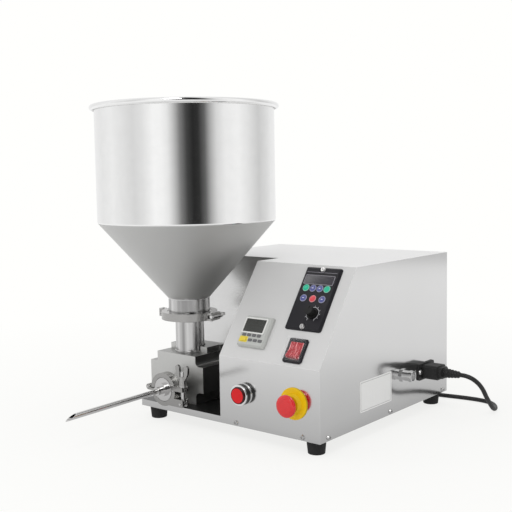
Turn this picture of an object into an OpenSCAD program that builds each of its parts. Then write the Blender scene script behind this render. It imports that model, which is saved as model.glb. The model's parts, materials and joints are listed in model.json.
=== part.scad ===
// Donut filler machine: a gear pump under a hopper, driven through a cabinet wall.
// Machine frame used by every module: x = 0 is the right side wall, y = 0 the front
// face, z = 0 the lower edge of the sheet metal. row() moves it to the resting place.

/* [Housing] */
// Overall width of the base
base_w = 345; // [335:1:365]
// Width of the control cabinet on the right
control_w = 178; // [172:1:186]
// Depth of the housing, front to back
housing_d = 360; // [358:1:390]
// Height of the housing above its lower edge
housing_h = 229.5; // [215:0.5:250]
// Height of the upright part of the front
front_h = 99.6; // [94:0.2:106]
// Depth taken up by the sloping panel
slope_d = 91.4; // [84:0.2:100]
// Distance from the front to the wall behind the pump
recess_y = 145.5; // [145:0.5:147]
// Thickness of the stainless sheet
sheet = 1.5; // [1:0.1:2]
// Height of the base pan
pan_h = 9.7; // [9:0.1:11]
// How far the top sheet stands over the recess wall
top_overhang = 2.5; // [1:0.1:5]
// Width of the return flanges behind
return_w = 12; // [9:0.5:16]

/* [Feet] */
// Height of a rubber foot below the pan
foot_h = 19.6; // [15:0.1:25]
// Diameter of a foot at its top
foot_top_d = 28; // [26:0.5:30]
// Diameter of a foot on the floor
foot_floor_d = 24; // [20:0.5:26]
// Foot centre from the side wall
foot_in_x = 19.3; // [18.5:0.1:24]
// Foot centre from the front and the back
foot_in_y = 18.6; // [18.2:0.1:24]

/* [Pump] */
// Pump centre line from the left end of the base
pump_side = 54.5; // [53:0.5:56]
// Front face of the pump block behind the cabinet's front
block_y = 24; // [23:0.5:25]
// Length of the pump block, front to back
block_l = 58; // [57:0.5:59]
// Half width of the block's neck
neck_hw = 41.2; // [41:0.1:42]
// Half width of the block's wide middle
wide_hw = 56.6; // [56:0.1:58]
// Lower edge of the wide middle
wide_z0 = 28.9; // [28:0.1:30]
// Upper edge of the wide middle
wide_z1 = 69.2; // [68:0.1:71]
// Top of the block's front part
block_top = 84.7; // [84:0.1:88]
// Top of the block's raised rear part
block_rear_top = 93.8; // [92:0.1:96]
// Where the raised rear part begins
raised_y = 54; // [52:0.5:56]
// Radius of the coves on the outlet's right
cove_r = 7; // [5:0.5:8]
// Height of the two gear axes
gear_z = 49; // [48.5:0.1:50]
// Distance between the two gear axes
gear_gap = 44; // [43.5:0.1:44.5]
// Number of teeth on each gear
teeth = 12; // [11:1:13]
// Thickness of the block's front wall
block_wall = 12; // [11.5:0.5:13]
// Radius of the pump shafts
shaft_r = 8; // [7.5:0.1:8.3]
// Outer radius of the bronze bushes
bush_r = 11; // [10.5:0.1:11.2]
// Thickness of the pump's rear cover
rear_cover_t = 14; // [13.5:0.1:15]

/* [Inlet and hopper] */
// Hopper axis behind the cabinet's front
hopper_y = 56.5; // [56.3:0.1:56.7]
// Outer radius of the inlet pipe
pipe_r = 22.5; // [21.5:0.1:23]
// Wall of the inlet pipe
pipe_wall = 2; // [1.5:0.1:3]
// Height of the sanitary joint between pipe and hopper
joint_z = 142.8; // [138:0.1:150]
// Outer radius of the hopper's neck
neck_r = 32.5; // [31:0.1:33.5]
// Height at which the cone begins
cone_z0 = 170.3; // [165:0.1:180]
// Height at which the cylinder begins
cone_z1 = 290.3; // [285:0.1:310]
// Height of the hopper's rolled rim
rim_z = 465.3; // [430:0.1:500]
// Outer radius of the hopper's cylinder
hopper_r = 138.5; // [125:0.5:145]
// Thickness of the hopper's sheet
hopper_wall = 1.5; // [1.2:0.1:2.5]
// Radius of the rolled rim's bead
bead_r = 4; // [3:0.1:5]

/* [Outlet and nozzle] */
// Outlet axis to the right of the pump's centre line
port_dx = 4; // [2:0.5:4]
// Height of the outlet axis
port_z = 35.3; // [35.2:0.1:36.5]
// Middle of the outlet clamp, from the cabinet's front
port_clamp_y = -3.5; // [-4:0.5:-3]
// Outer radius of the outlet tube
port_r = 13; // [11:0.5:15]
// Bore radius of the outlet
port_bore_r = 9; // [7:0.5:9.5]
// Reach of the nozzle's tip in front of the cabinet
nozzle_reach = 195; // [150:1:220]
// Outer radius of the nozzle tube
nozzle_r = 4; // [3.5:0.1:5]
// Bore radius of the nozzle tube
nozzle_bore_r = 3.2; // [2.4:0.1:3.3]
// Length of the nozzle's bevelled end
bevel_l = 19; // [10:0.5:26]
// Droop of the nozzle tube, in degrees
nozzle_drop = 1; // [0:0.1:2]

/* [Controls] */
// Speed controller centre from the right side
ctrl_x = 50; // [42:0.5:56]
// Speed controller centre down from the top of the slope
ctrl_top = 54.8; // [53:0.1:57]
// Width of the speed controller's plate
ctrl_w = 62; // [60:0.5:64]
// Length of the speed controller's plate
ctrl_l = 100; // [98:0.5:102]
// Height of the speed controller's plate
ctrl_t = 4; // [3:0.1:5]
// Timer centre from the right side
timer_x = 126; // [122:0.5:132]
// Timer centre up the slope
timer_u = 42.4; // [38:0.2:50]
// Side of the timer's square bezel
timer_w = 48; // [47:0.1:49]
// Height of the timer's bezel
timer_t = 7.5; // [6:0.1:9]
// Rocker switch centre from the right side
switch_x = 48.5; // [44:0.5:54]
// Rocker switch centre up the slope
switch_u = 23.5; // [22.5:0.1:25]
// Start button centre from the right side
start_x = 133; // [125:0.5:145]
// Height of the start button and the emergency stop
button_z = 49.3; // [42:0.1:54]
// Emergency stop centre from the right side
estop_x = 43; // [36:0.5:55]
// Radius of the emergency stop's backing plate
estop_plate_r = 22.25; // [20:0.05:24]
// Radius of the emergency stop's head
estop_head_r = 15.6; // [14:0.1:18]
// Radius of a panel-mounted operator's barrel
barrel_r = 11; // [10:0.1:11.5]

/* [Right side] */
// Pedal socket centre behind the front
socket_y = 218; // [200:1:240]
// Pedal socket centre height
socket_z = 53; // [45:0.5:60]
// How far the pedal socket stands out
socket_out = 18; // [14:0.5:22]
// Mains inlet centre behind the front
inlet_y = 287; // [275:1:295]
// Mains inlet centre height
inlet_z = 48; // [40:0.5:60]
// Outer radius of the mains cord
cord_r = 3.5; // [3:0.1:4]

/* [Drive] */
// Front face of the gearhead
gearhead_y = 207; // [206:0.5:208]
// Side of the square gearhead
gearhead_w = 90; // [86:1:92]
// Length of the gearhead
gearhead_l = 56; // [50:1:58]
// Room between the motor and the rear panel
motor_room = 9; // [5:0.5:20]
// Output shaft below the gearhead's centre
shaft_drop = 18; // [16:0.5:19]

/* [Hidden] */
$fn = 72;
eps = 1;                    // overshoot of a cut past the face it opens
run_fit = 0.05;             // radial clearance of a shaft in its bush
gap = 0.3;                  // clearance between parts that move apart

// Places worked out from the driving dimensions
pump_x = -base_w + pump_side;
drive_x = pump_x + gear_gap / 2;
idler_x = pump_x - gear_gap / 2;
block_y1 = block_y + block_l;
cavity_y = block_y + block_wall;
rear_cover_y1 = block_y1 + rear_cover_t;
port_x = pump_x + port_dx;
slope_a = atan2(housing_h - front_h, slope_d);
ctrl_u = norm([housing_h - front_h, slope_d]) - ctrl_top;
motor_l = housing_d - gearhead_y - gearhead_l - motor_room;
rim_out = hopper_r + 2 * bead_r;

// Screws, all in two sizes
m4_r = 2;
m4_head_r = 4;
m4_head_h = 2.4;
m4_l = 7;
m6_r = 3;
m6_head_r = 5;
m6_head_h = 6;
m6_l = 14;
bore_6 = m6_head_r + 0.3;

// The row's origin: middle of the box over the floor, measured without the cord
mid_x = (pump_x - rim_out + socket_out) / 2;
mid_y = (-nozzle_reach + housing_d + m4_head_h) / 2;
module row() translate([-mid_x, -mid_y, foot_h]) children();

// ---------------------------------------------------------------- helpers
module on_front(x, z) translate([-x, 0, z]) rotate([90, 0, 0]) children();
module on_slope(x, u) translate([-x, 0, front_h]) rotate([slope_a, 0, 0])
    translate([0, u, 0]) children();
module on_side(y, z) translate([0, y, z]) rotate([90, 0, 90]) children();
module along_x(x0, x1) translate([x0, 0, 0]) rotate([90, 0, 90])
    linear_extrude(x1 - x0) children();
module along_y(y0, y1) translate([0, y1, 0]) rotate([90, 0, 0])
    linear_extrude(y1 - y0) children();
module axis_y(x, y, z) translate([x, y, z]) rotate([-90, 0, 0]) children();
module ring(r_out, r_in, h) difference() {
    cylinder(h = h, r = r_out);
    translate([0, 0, -eps]) cylinder(h = h + 2 * eps, r = r_in);
}
module rounded(w, l, r) union() {
    square([w - 2 * r, l], center = true);
    square([w, l - 2 * r], center = true);
    for (sx = [-1, 1], sy = [-1, 1])
        translate([sx * (w / 2 - r), sy * (l / 2 - r)]) circle(r);
}
module slab(w, l, r, z0, z1) translate([0, 0, z0]) linear_extrude(z1 - z0) rounded(w, l, r);
// A plate with sloping edges: rounded corners, and a bevel cut on all four sides
module bevelled(w, l, r, t, rise, bevel) intersection() {
    slab(w, l, r, 0, t);
    rotate([90, 0, 0]) linear_extrude(l + 2, center = true)
        polygon([[-w / 2, 0], [w / 2, 0], [w / 2, rise], [w / 2 - bevel, t],
            [-w / 2 + bevel, t], [-w / 2, rise]]);
    rotate([90, 0, 90]) linear_extrude(w + 2, center = true)
        polygon([[-l / 2, 0], [l / 2, 0], [l / 2, rise], [l / 2 - bevel, t],
            [-l / 2 + bevel, t], [-l / 2, rise]]);
}

// Pan head screw: head above z = 0, cross recess, shank below
module pan_screw() difference() {
    union() {
        cylinder(h = m4_head_h, r1 = m4_head_r, r2 = m4_head_r - 0.9);
        translate([0, 0, -m4_l]) cylinder(h = m4_l, r = m4_r);
    }
    for (a = [0, 90]) rotate([0, 0, a]) translate([-2, -0.45, m4_head_h - 1.1])
        cube([4, 0.9, 2]);
}
// Socket cap screw: head above z = 0, hexagon socket, shank below
module cap_screw() difference() {
    union() {
        cylinder(h = m6_head_h, r = m6_head_r);
        translate([0, 0, -m6_l]) cylinder(h = m6_l, r = m6_r);
    }
    translate([0, 0, m6_head_h - 3]) cylinder(h = 4, r = 2.9, $fn = 6);
}

// ---------------------------------------------------------------- housing
// Side outline of the cabinet, drawn in by k, from z0 up and back to y1
function side_outline(k, z0, y1) = [[k, z0], [k, front_h - k * tan((90 - slope_a) / 2)],
    [slope_d + k * tan(slope_a / 2), housing_h - k], [y1, housing_h - k], [y1, z0]];
// Outline of the base pan, drawn in by k
function pan_outline(k) = [[-base_w + k, k], [-control_w - k, k],
    [-control_w - k, sheet + k], [-sheet - k, sheet + k],
    [-sheet - k, housing_d - sheet - k], [-base_w + sheet + k, housing_d - sheet - k],
    [-base_w + sheet + k, recess_y - k], [-base_w + k, recess_y - k]];

screw_z = pan_h / 2;
front_screws = [29, 148];
side_screws = [20, 181, housing_d - 14];
left_screws = [181, housing_d - 14];
back_screws = [30, base_w / 2, base_w - 30];
rear_screw_z = [housing_h - 139.5, housing_h - 39.5];
foot_places = [for (x = [-foot_in_x, foot_in_x - base_w],
    y = [foot_in_y, housing_d - foot_in_y]) [x, y]];
foot_seat_z = pan_h - m4_l;
pump_screws = [for (x = [-34, 34], y = [block_y + 14, block_y + 40]) [pump_x + x, y]];
bracket_screws = [for (x = [-35, 35], y = [gearhead_y - 38, gearhead_y - 16])
    [drive_x + x, y]];
lantern_screws = [for (x = [-25, 25], z = [-25, 25]) [drive_x + x, gear_z + z]];
cover_screws = [for (x = [-34, 34], z = [17, block_top - 7]) [pump_x + x, z]];
gearhead_screws = [for (x = [-37, 37], z = [-37, 37])
    [drive_x + x, gear_z + shaft_drop + z]];

timer_case_w = timer_w - 3.2;
ctrl_case = [52, 82];
switch_body = [27.5, 31.5];
inlet_body = [28, 20];
inlet_flange = [50, 26];
inlet_screw = 20;
socket_r = 8;
cut_gap = 0.25;

module base_pan() color([0.80, 0.80, 0.80]) difference() {
    linear_extrude(pan_h) polygon(pan_outline(0));
    translate([0, 0, -eps]) linear_extrude(pan_h - sheet + eps) polygon(pan_outline(sheet));
    for (p = foot_places) translate([p[0], p[1], 0]) cylinder(h = pan_h + eps, r = m4_r);
    for (p = concat(pump_screws, bracket_screws))
        translate([p[0], p[1], 0]) cylinder(h = pan_h + eps, r = m6_r);
    for (x = front_screws) on_front(x, screw_z) translate([0, 0, -3 * sheet])
        cylinder(h = 3 * sheet, r = m4_r);
    for (y = side_screws) on_side(y, screw_z) translate([0, 0, -3 * sheet])
        cylinder(h = 3 * sheet, r = m4_r);
    for (y = left_screws) translate([-base_w, y, screw_z]) rotate([0, 90, 0])
        cylinder(h = 3 * sheet, r = m4_r);
    for (x = back_screws) axis_y(-x, housing_d - 3 * sheet, screw_z)
        cylinder(h = 3 * sheet, r = m4_r);
}

module housing_cover() color([0.82, 0.82, 0.82]) difference() {
    union() {
        difference() {
            union() {
                along_x(-control_w, 0) polygon(side_outline(0, 0, housing_d));
                translate([-base_w, recess_y - top_overhang, 0])
                    cube([base_w - control_w + eps, housing_d - recess_y + top_overhang,
                        housing_h]);
            }
            along_x(-control_w - eps, -sheet)
                polygon(side_outline(sheet, -eps, housing_d + eps));
            translate([-base_w + sheet, recess_y - top_overhang - eps, -eps])
                cube([base_w - control_w, housing_d, housing_h - sheet + eps]);
            translate([-base_w - eps, recess_y - top_overhang - eps, -eps])
                cube([base_w - control_w, top_overhang + eps, housing_h - sheet + eps]);
        }
        for (x = [-sheet - return_w, -base_w + sheet])
            translate([x, housing_d - 2 * sheet, pan_h])
                cube([return_w, sheet, housing_h - sheet - pan_h]);
    }
    on_slope(ctrl_x, ctrl_u) slab(ctrl_case[0] + cut_gap, ctrl_case[1] + cut_gap, 2, -5, 5);
    for (s = [-1, 1]) on_slope(ctrl_x, ctrl_u) translate([0, s * ctrl_screw, -5])
        cylinder(h = 10, r = m4_r);
    on_slope(timer_x, timer_u)
        slab(timer_case_w + cut_gap, timer_case_w + cut_gap, 1, -5, 5);
    on_slope(switch_x, switch_u)
        slab(switch_body[0] + cut_gap, switch_body[1] + cut_gap, 1.5, -5, 5);
    for (x = [start_x, estop_x]) on_front(x, button_z) translate([0, 0, -5])
        cylinder(h = 10, r = barrel_r);
    for (x = front_screws) on_front(x, screw_z) translate([0, 0, -5])
        cylinder(h = 10, r = m4_r);
    for (y = side_screws) on_side(y, screw_z) translate([0, 0, -5])
        cylinder(h = 10, r = m4_r);
    for (y = left_screws) translate([-base_w - 5, y, screw_z]) rotate([0, 90, 0])
        cylinder(h = 10, r = m4_r);
    on_side(socket_y, socket_z) translate([0, 0, -5]) cylinder(h = 10, r = socket_r);
    on_side(inlet_y, inlet_z)
        slab(inlet_body[0] + cut_gap, inlet_body[1] + cut_gap, 2, -5, 5);
    for (s = [-1, 1]) on_side(inlet_y + s * inlet_screw, inlet_z)
        translate([0, 0, -5]) cylinder(h = 10, r = m4_r);
    for (x = [return_w / 2 + sheet, base_w - return_w / 2 - sheet], z = rear_screw_z)
        axis_y(-x, housing_d - 5, z) cylinder(h = 10, r = m4_r);
}

module recess_panel() color([0.78, 0.78, 0.79]) difference() {
    union() {
        along_x(-control_w, -control_w + sheet) intersection() {
            polygon(side_outline(sheet, pan_h, housing_d));
            square([recess_y + sheet, housing_h]);
        }
        translate([-base_w + sheet, recess_y, pan_h])
            cube([base_w - control_w, sheet, housing_h - sheet - pan_h]);
    }
    axis_y(drive_x, recess_y - eps, gear_z) cylinder(h = sheet + 2 * eps, r = lantern_bore_r);
    for (p = lantern_screws) axis_y(p[0], recess_y - eps, p[1])
        cylinder(h = sheet + 2 * eps, r = m6_r);
}

vent_w = 50;
vent_h = 4;
module rear_panel() color([0.80, 0.80, 0.80]) difference() {
    translate([-base_w + sheet, housing_d - sheet, 0])
        cube([base_w - 2 * sheet, sheet, housing_h - sheet]);
    for (x = back_screws) axis_y(-x, housing_d - 5, screw_z) cylinder(h = 10, r = m4_r);
    for (x = [return_w / 2 + sheet, base_w - return_w / 2 - sheet], z = rear_screw_z)
        axis_y(-x, housing_d - 5, z) cylinder(h = 10, r = m4_r);
    for (i = [0:5]) translate([drive_x - vent_w / 2, housing_d - 5, 130 + 10 * i])
        cube([vent_w, 10, vent_h]);
}

module pan_screws() color([0.75, 0.75, 0.75]) {
    for (x = front_screws) on_front(x, screw_z) pan_screw();
    for (y = side_screws) on_side(y, screw_z) pan_screw();
    for (y = left_screws) translate([-base_w, y, screw_z]) rotate([0, -90, 0]) pan_screw();
    for (x = back_screws) axis_y(-x, housing_d, screw_z) pan_screw();
    for (x = [return_w / 2 + sheet, base_w - return_w / 2 - sheet], z = rear_screw_z)
        axis_y(-x, housing_d, z) pan_screw();
    for (p = foot_places) translate([p[0], p[1], foot_seat_z]) rotate([180, 0, 0])
        pan_screw();
    for (s = [-1, 1]) on_slope(ctrl_x, ctrl_u) translate([0, s * ctrl_screw, ctrl_t])
        pan_screw();
    for (s = [-1, 1]) on_side(inlet_y + s * inlet_screw, inlet_z)
        translate([0, 0, inlet_flange_t]) pan_screw();
}

foot_plug_r = 12;
module rubber_feet() color([0.08, 0.08, 0.08])
    for (p = foot_places) translate([p[0], p[1], 0]) difference() {
        union() {
            translate([0, 0, -foot_h])
                cylinder(h = foot_h, r1 = foot_floor_d / 2, r2 = foot_top_d / 2);
            cylinder(h = pan_h - sheet, r = foot_plug_r);
        }
        translate([0, 0, -foot_h - eps])
            cylinder(h = foot_h + foot_seat_z + eps, r = m4_head_r + 1);
        cylinder(h = pan_h, r = m4_r);
    }

// ---------------------------------------------------------------- pump
module cove(x, z, r, sx, sz) translate([x, z]) mirror([sx < 0 ? 1 : 0, 0])
    mirror([0, sz < 0 ? 1 : 0]) difference() {
        translate([-0.5, -0.5]) square(r + 0.5);
        translate([r, r]) circle(r);
    }
// Front outline of the pump block, up to a given top
small_cove = 2;
module pump_outline(top) {
    translate([-neck_hw, pan_h]) square([2 * neck_hw, top - pan_h]);
    translate([-wide_hw, wide_z0]) square([2 * wide_hw, wide_z1 - wide_z0]);
    cove(neck_hw, wide_z1, cove_r, 1, 1);
    cove(neck_hw, wide_z0, cove_r, 1, -1);
    cove(-neck_hw, wide_z1, small_cove, -1, 1);
    cove(-neck_hw, wide_z0, small_cove, -1, -1);
}

// The gears: involute flanks on radial roots, with a little backlash
tooth_module = gear_gap / teeth;
pitch_r = gear_gap / 2;
tip_r = pitch_r + 0.85 * tooth_module;
root_r = pitch_r - 1.1 * tooth_module;
pressure_a = 25;
base_r = pitch_r * cos(pressure_a);
backlash = 0.25;
pocket_r = tip_r + 0.2;
gear_y0 = cavity_y + 0.15;
gear_y1 = block_y1 - 0.15;
// Roll angle at a radius, and the polar angle of the flank there
function inv(r) = sqrt(max(0, pow(r / base_r, 2) - 1)) * 180 / PI - acos(min(1, base_r / r));
half_tooth = 90 / teeth - backlash / pitch_r * 90 / PI;
function flank(r) = half_tooth + inv(pitch_r) - inv(max(r, base_r));
flank_r = [root_r, base_r, for (i = [1:4]) base_r + (tip_r - base_r) * i / 4];
tooth_points = concat([for (r = flank_r) [r, -flank(r)]],
    [for (i = [len(flank_r) - 1:-1:0]) [flank_r[i], flank(flank_r[i])]]);
function gear_points(turn) = [for (k = [0:teeth - 1], p = tooth_points)
    p[0] * [cos(p[1] + k * 360 / teeth + turn), sin(p[1] + k * 360 / teeth + turn)]];

inlet_bore_r = pipe_r - pipe_wall - 2;
sump_r = 8;
sump_z = 30;
bush_l = 9;
ring_t = 2.5;
pipe_seat_r = pipe_r + 1.6;
raised_in = 3;
ferrule_rim = 2.85;
gasket_t = 2;
taper = tan(20);
// Half section of a clamp ferrule, from the gasket's face up to len
function ferrule(flange_r, stem_r, bore, len) = [[bore, gasket_t / 2],
    [flange_r, gasket_t / 2], [flange_r, gasket_t / 2 + ferrule_rim],
    [stem_r, gasket_t / 2 + ferrule_rim + (flange_r - stem_r) * taper],
    [stem_r, len], [bore, len]];

outlet_flange_r = 22;
module pump_body() color([0.62, 0.62, 0.62]) difference() {
    union() {
        translate([pump_x, 0, 0]) along_y(block_y, block_y1) pump_outline(block_top);
        translate([pump_x - neck_hw + 1, raised_y, gear_z])
            cube([2 * neck_hw - 1 - raised_in, block_y1 - raised_y, block_rear_top - gear_z]);
        axis_y(port_x, port_clamp_y, port_z) rotate_extrude()
            polygon(ferrule(outlet_flange_r, port_r, 0, block_y - port_clamp_y + eps));
    }
    for (x = [drive_x, idler_x]) {
        axis_y(x, cavity_y, gear_z) cylinder(h = block_l, r = pocket_r);
        axis_y(x, cavity_y - bush_l, gear_z) cylinder(h = bush_l + eps, r = bush_r);
    }
    translate([pump_x, hopper_y, gear_z + 8])
        cylinder(h = block_rear_top, r = inlet_bore_r);
    axis_y(pump_x, cavity_y, sump_z) cylinder(h = block_l, r = sump_r);
    axis_y(port_x, port_clamp_y - eps, port_z)
        cylinder(h = cavity_y - port_clamp_y + 2 * eps, r = port_bore_r);
    translate([pump_x, hopper_y, block_top]) cylinder(h = 20, r = pipe_seat_r + 0.2);
    for (p = pump_screws) translate([p[0], p[1], 0])
        cylinder(h = pan_h - sheet + m6_l + eps, r = m6_r);
    for (p = cover_screws) axis_y(p[0], block_y1 - m6_l, p[1])
        cylinder(h = m6_l + eps, r = m6_r);
}

cover_sink = 7;
seal_r = 13;
seal_t = rear_cover_t - bush_l;
module pump_rear_cover() color([0.60, 0.60, 0.60]) difference() {
    translate([pump_x, 0, 0]) along_y(block_y1, rear_cover_y1) pump_outline(block_rear_top);
    for (x = [drive_x, idler_x])
        axis_y(x, block_y1 - eps, gear_z) cylinder(h = bush_l + eps, r = bush_r);
    axis_y(drive_x, block_y1 + bush_l - eps, gear_z) cylinder(h = seal_t + 2 * eps, r = seal_r);
    for (p = cover_screws) {
        axis_y(p[0], block_y1 - eps, p[1]) cylinder(h = rear_cover_t + 2 * eps, r = m6_r);
        axis_y(p[0], rear_cover_y1 - cover_sink, p[1]) cylinder(h = cover_sink + eps, r = bore_6);
    }
}

module cap_screws() color([0.3, 0.3, 0.3]) {
    for (p = concat(pump_screws, bracket_screws))
        translate([p[0], p[1], pan_h - sheet]) rotate([180, 0, 0]) cap_screw();
    for (p = cover_screws) axis_y(p[0], rear_cover_y1 - cover_sink, p[1]) cap_screw();
    for (p = lantern_screws) translate([p[0], recess_y - lantern_flange_t, p[1]])
        rotate([90, 0, 0]) cap_screw();
    for (p = gearhead_screws) translate([p[0], gearhead_y - bracket_t, p[1]])
        rotate([90, 0, 0]) cap_screw();
}

module shaft_bushes() color([0.72, 0.55, 0.30])
    for (x = [drive_x, idler_x], y = [cavity_y - bush_l, block_y1])
        axis_y(x, y, gear_z) ring(bush_r, shaft_r + run_fit, bush_l);

module shaft_seal() color([0.1, 0.1, 0.1])
    axis_y(drive_x, block_y1 + bush_l, gear_z) ring(seal_r, shaft_r + run_fit, seal_t);

lantern_r = 22;
lantern_bore_r = 12;
lantern_flange_r = 36;
lantern_flange_t = 6;
module pump_lantern() color([0.55, 0.55, 0.56]) difference() {
    union() {
        axis_y(drive_x, rear_cover_y1, gear_z)
            cylinder(h = recess_y - rear_cover_y1, r = lantern_r);
        axis_y(drive_x, recess_y - lantern_flange_t, gear_z)
            cylinder(h = lantern_flange_t, r = lantern_flange_r);
    }
    axis_y(drive_x, rear_cover_y1 - eps, gear_z) cylinder(h = recess_y, r = lantern_bore_r);
    for (p = lantern_screws) axis_y(p[0], rear_cover_y1, p[1])
        cylinder(h = recess_y, r = m6_r);
}

shaft_y0 = cavity_y - bush_l + 0.5;
coupling_l = 38;
coupling_y = gearhead_y - 52;
shaft_meet = coupling_y + coupling_l / 2;
module drive_shaft() color([0.75, 0.75, 0.75])
    axis_y(drive_x, shaft_y0, gear_z) cylinder(h = shaft_meet - 1 - shaft_y0, r = shaft_r);

module drive_gear() color([0.70, 0.70, 0.72]) difference() {
    translate([drive_x, 0, gear_z]) along_y(gear_y0, gear_y1) polygon(gear_points(0));
    axis_y(drive_x, 0, gear_z) cylinder(h = housing_d, r = shaft_r);
}

module idler_gear() color([0.70, 0.70, 0.72]) {
    translate([idler_x, 0, gear_z]) along_y(gear_y0, gear_y1)
        polygon(gear_points(180 / teeth + 180));
    axis_y(idler_x, shaft_y0, gear_z)
        cylinder(h = block_y1 + bush_l - 0.5 - shaft_y0, r = shaft_r);
}

output_r = 7.5;
coupling_r = 14;
module shaft_coupling() color([0.25, 0.25, 0.27]) difference() {
    axis_y(drive_x, coupling_y, gear_z) cylinder(h = coupling_l, r = coupling_r);
    axis_y(drive_x, coupling_y - eps, gear_z) cylinder(h = coupling_l / 2 + eps, r = shaft_r);
    axis_y(drive_x, shaft_meet - eps, gear_z) cylinder(h = coupling_l, r = output_r);
    for (y = [coupling_y + 8, coupling_y + coupling_l - 8])
        translate([drive_x, y, gear_z]) cylinder(h = coupling_r + eps, r = 2.5);
}

output_in = 14;
module gearhead_shaft() color([0.75, 0.75, 0.75])
    axis_y(drive_x, shaft_meet, gear_z)
        cylinder(h = gearhead_y + output_in - shaft_meet, r = output_r);

boss_r = 18;
module gearhead() color([0.45, 0.47, 0.48]) difference() {
    union() {
        translate([drive_x, 0, gear_z + shaft_drop])
            along_y(gearhead_y, gearhead_y + gearhead_l) rounded(gearhead_w, gearhead_w, 8);
        axis_y(drive_x, gearhead_y - 4, gear_z) cylinder(h = 4 + eps, r = boss_r);
    }
    axis_y(drive_x, gearhead_y - 5, gear_z)
        cylinder(h = output_in + 5 + gap, r = output_r + run_fit);
    for (p = gearhead_screws) axis_y(p[0], gearhead_y - eps, p[1])
        cylinder(h = m6_l - bracket_t + eps, r = m6_r);
}

motor_flange_t = 8;
motor_cap_l = 14;
fin_pitch = 12;
motor_fins = floor((motor_l - motor_cap_l - motor_flange_t) / fin_pitch);
module motor() color([0.35, 0.37, 0.38]) {
    translate([drive_x, 0, gear_z + shaft_drop])
        along_y(gearhead_y + gearhead_l, gearhead_y + gearhead_l + motor_flange_t)
            rounded(gearhead_w, gearhead_w, 8);
    axis_y(drive_x, gearhead_y + gearhead_l, gear_z + shaft_drop) {
        cylinder(h = motor_l - motor_cap_l, r = gearhead_w / 2 - 2);
        cylinder(h = motor_l, r = gearhead_w / 2 - 5);
        for (i = [1:motor_fins]) translate([0, 0, motor_flange_t + fin_pitch * i])
            cylinder(h = 3, r = gearhead_w / 2);
    }
}

bracket_t = 6;
bracket_w = 100;
bracket_foot = 50;
bracket_h = gear_z + shaft_drop + gearhead_w / 2 + 4;
module motor_bracket() color([0.55, 0.55, 0.55]) difference() {
    union() {
        translate([drive_x - bracket_w / 2, gearhead_y - bracket_t, pan_h])
            cube([bracket_w, bracket_t, bracket_h - pan_h]);
        translate([drive_x - bracket_w / 2, gearhead_y - bracket_foot, pan_h])
            cube([bracket_w, bracket_foot, bracket_t]);
        for (x = [drive_x - bracket_w / 2, drive_x + bracket_w / 2 - 4])
            along_x(x, x + 4) polygon([[gearhead_y - bracket_foot, pan_h],
                [gearhead_y, pan_h], [gearhead_y, bracket_h - 10]]);
    }
    axis_y(drive_x, gearhead_y - bracket_t - eps, gear_z) cylinder(h = 10, r = boss_r);
    for (p = gearhead_screws) axis_y(p[0], gearhead_y - bracket_t - eps, p[1])
        cylinder(h = 10, r = m6_r);
    for (p = bracket_screws) translate([p[0], p[1], 0]) cylinder(h = 30, r = m6_r);
}

capacitor_r = 17.5;
capacitor_h = 52;
capacitor_in = 90;
module motor_capacitor() color([0.85, 0.85, 0.88])
    translate([-control_w / 2, recess_y + capacitor_in, pan_h]) {
        cylinder(h = capacitor_h, r = capacitor_r);
        for (s = [-1, 1]) translate([s * 6 - 0.5, -3, capacitor_h]) cube([1, 6, 8]);
        translate([-capacitor_r - 10, -8, 0]) cube([2 * capacitor_r + 20, 16, 2]);
    }

// ---------------------------------------------------------------- clamps
// One record per clamp: flange, ring and lip radius, width, hinge and eye, pin,
// bolt place and radius, outer end and height of the nut's lug, depth of the bolt's pivot,
// outer end of the bolt, and where the pivot's lug begins
hopper_clamp = [38.75, 44, 34.8, 12, 52, 6.5, 2.2, 47.5, 2.5, 51, 12, 8, 27, 0];
outlet_clamp = [outlet_flange_r, 25.5, 18.5, 13, 32.5, 4.6, 2, 36, 3, 41, 8, 18, 31, 11];
function flange_r(c) = c[0];
function ring_r(c) = c[1];
function lip_r(c) = c[2];
function band_w(c) = c[3];
function hinge_x(c) = c[4];
function eye_r(c) = c[5];
function pin_r(c) = c[6];
function bolt_x(c) = c[7];
function bolt_r(c) = c[8];
function lug_x(c) = c[9];
function lug_h(c) = c[10];
function pivot_y(c) = c[11];
function bolt_end(c) = c[12];
function pivot_lug(c) = c[13];
function bolt_eye_r(c) = pin_r(c) + 1.6;
split_gap = 1.5;
hopper_clamp_turn = 8;
pin_out = 1.2;

module at_joint() translate([pump_x, hopper_y, joint_z])
    rotate([0, 0, hopper_clamp_turn]) children();
module at_outlet() translate([port_x, port_clamp_y, port_z]) rotate([90, 0, 0]) children();

// Space for the two ferrules inside a clamp band
module clamp_groove(c) {
    rim = gasket_t / 2 + ferrule_rim + gap;
    far = flange_r(c) + gap;
    lip = rim + (far - lip_r(c)) * taper;
    half = band_w(c) / 2 + eps;
    rotate_extrude() polygon([[0, -half], [lip_r(c), -half], [lip_r(c), -lip], [far, -rim],
        [far, rim], [lip_r(c), lip], [lip_r(c), half], [0, half]]);
}
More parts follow.
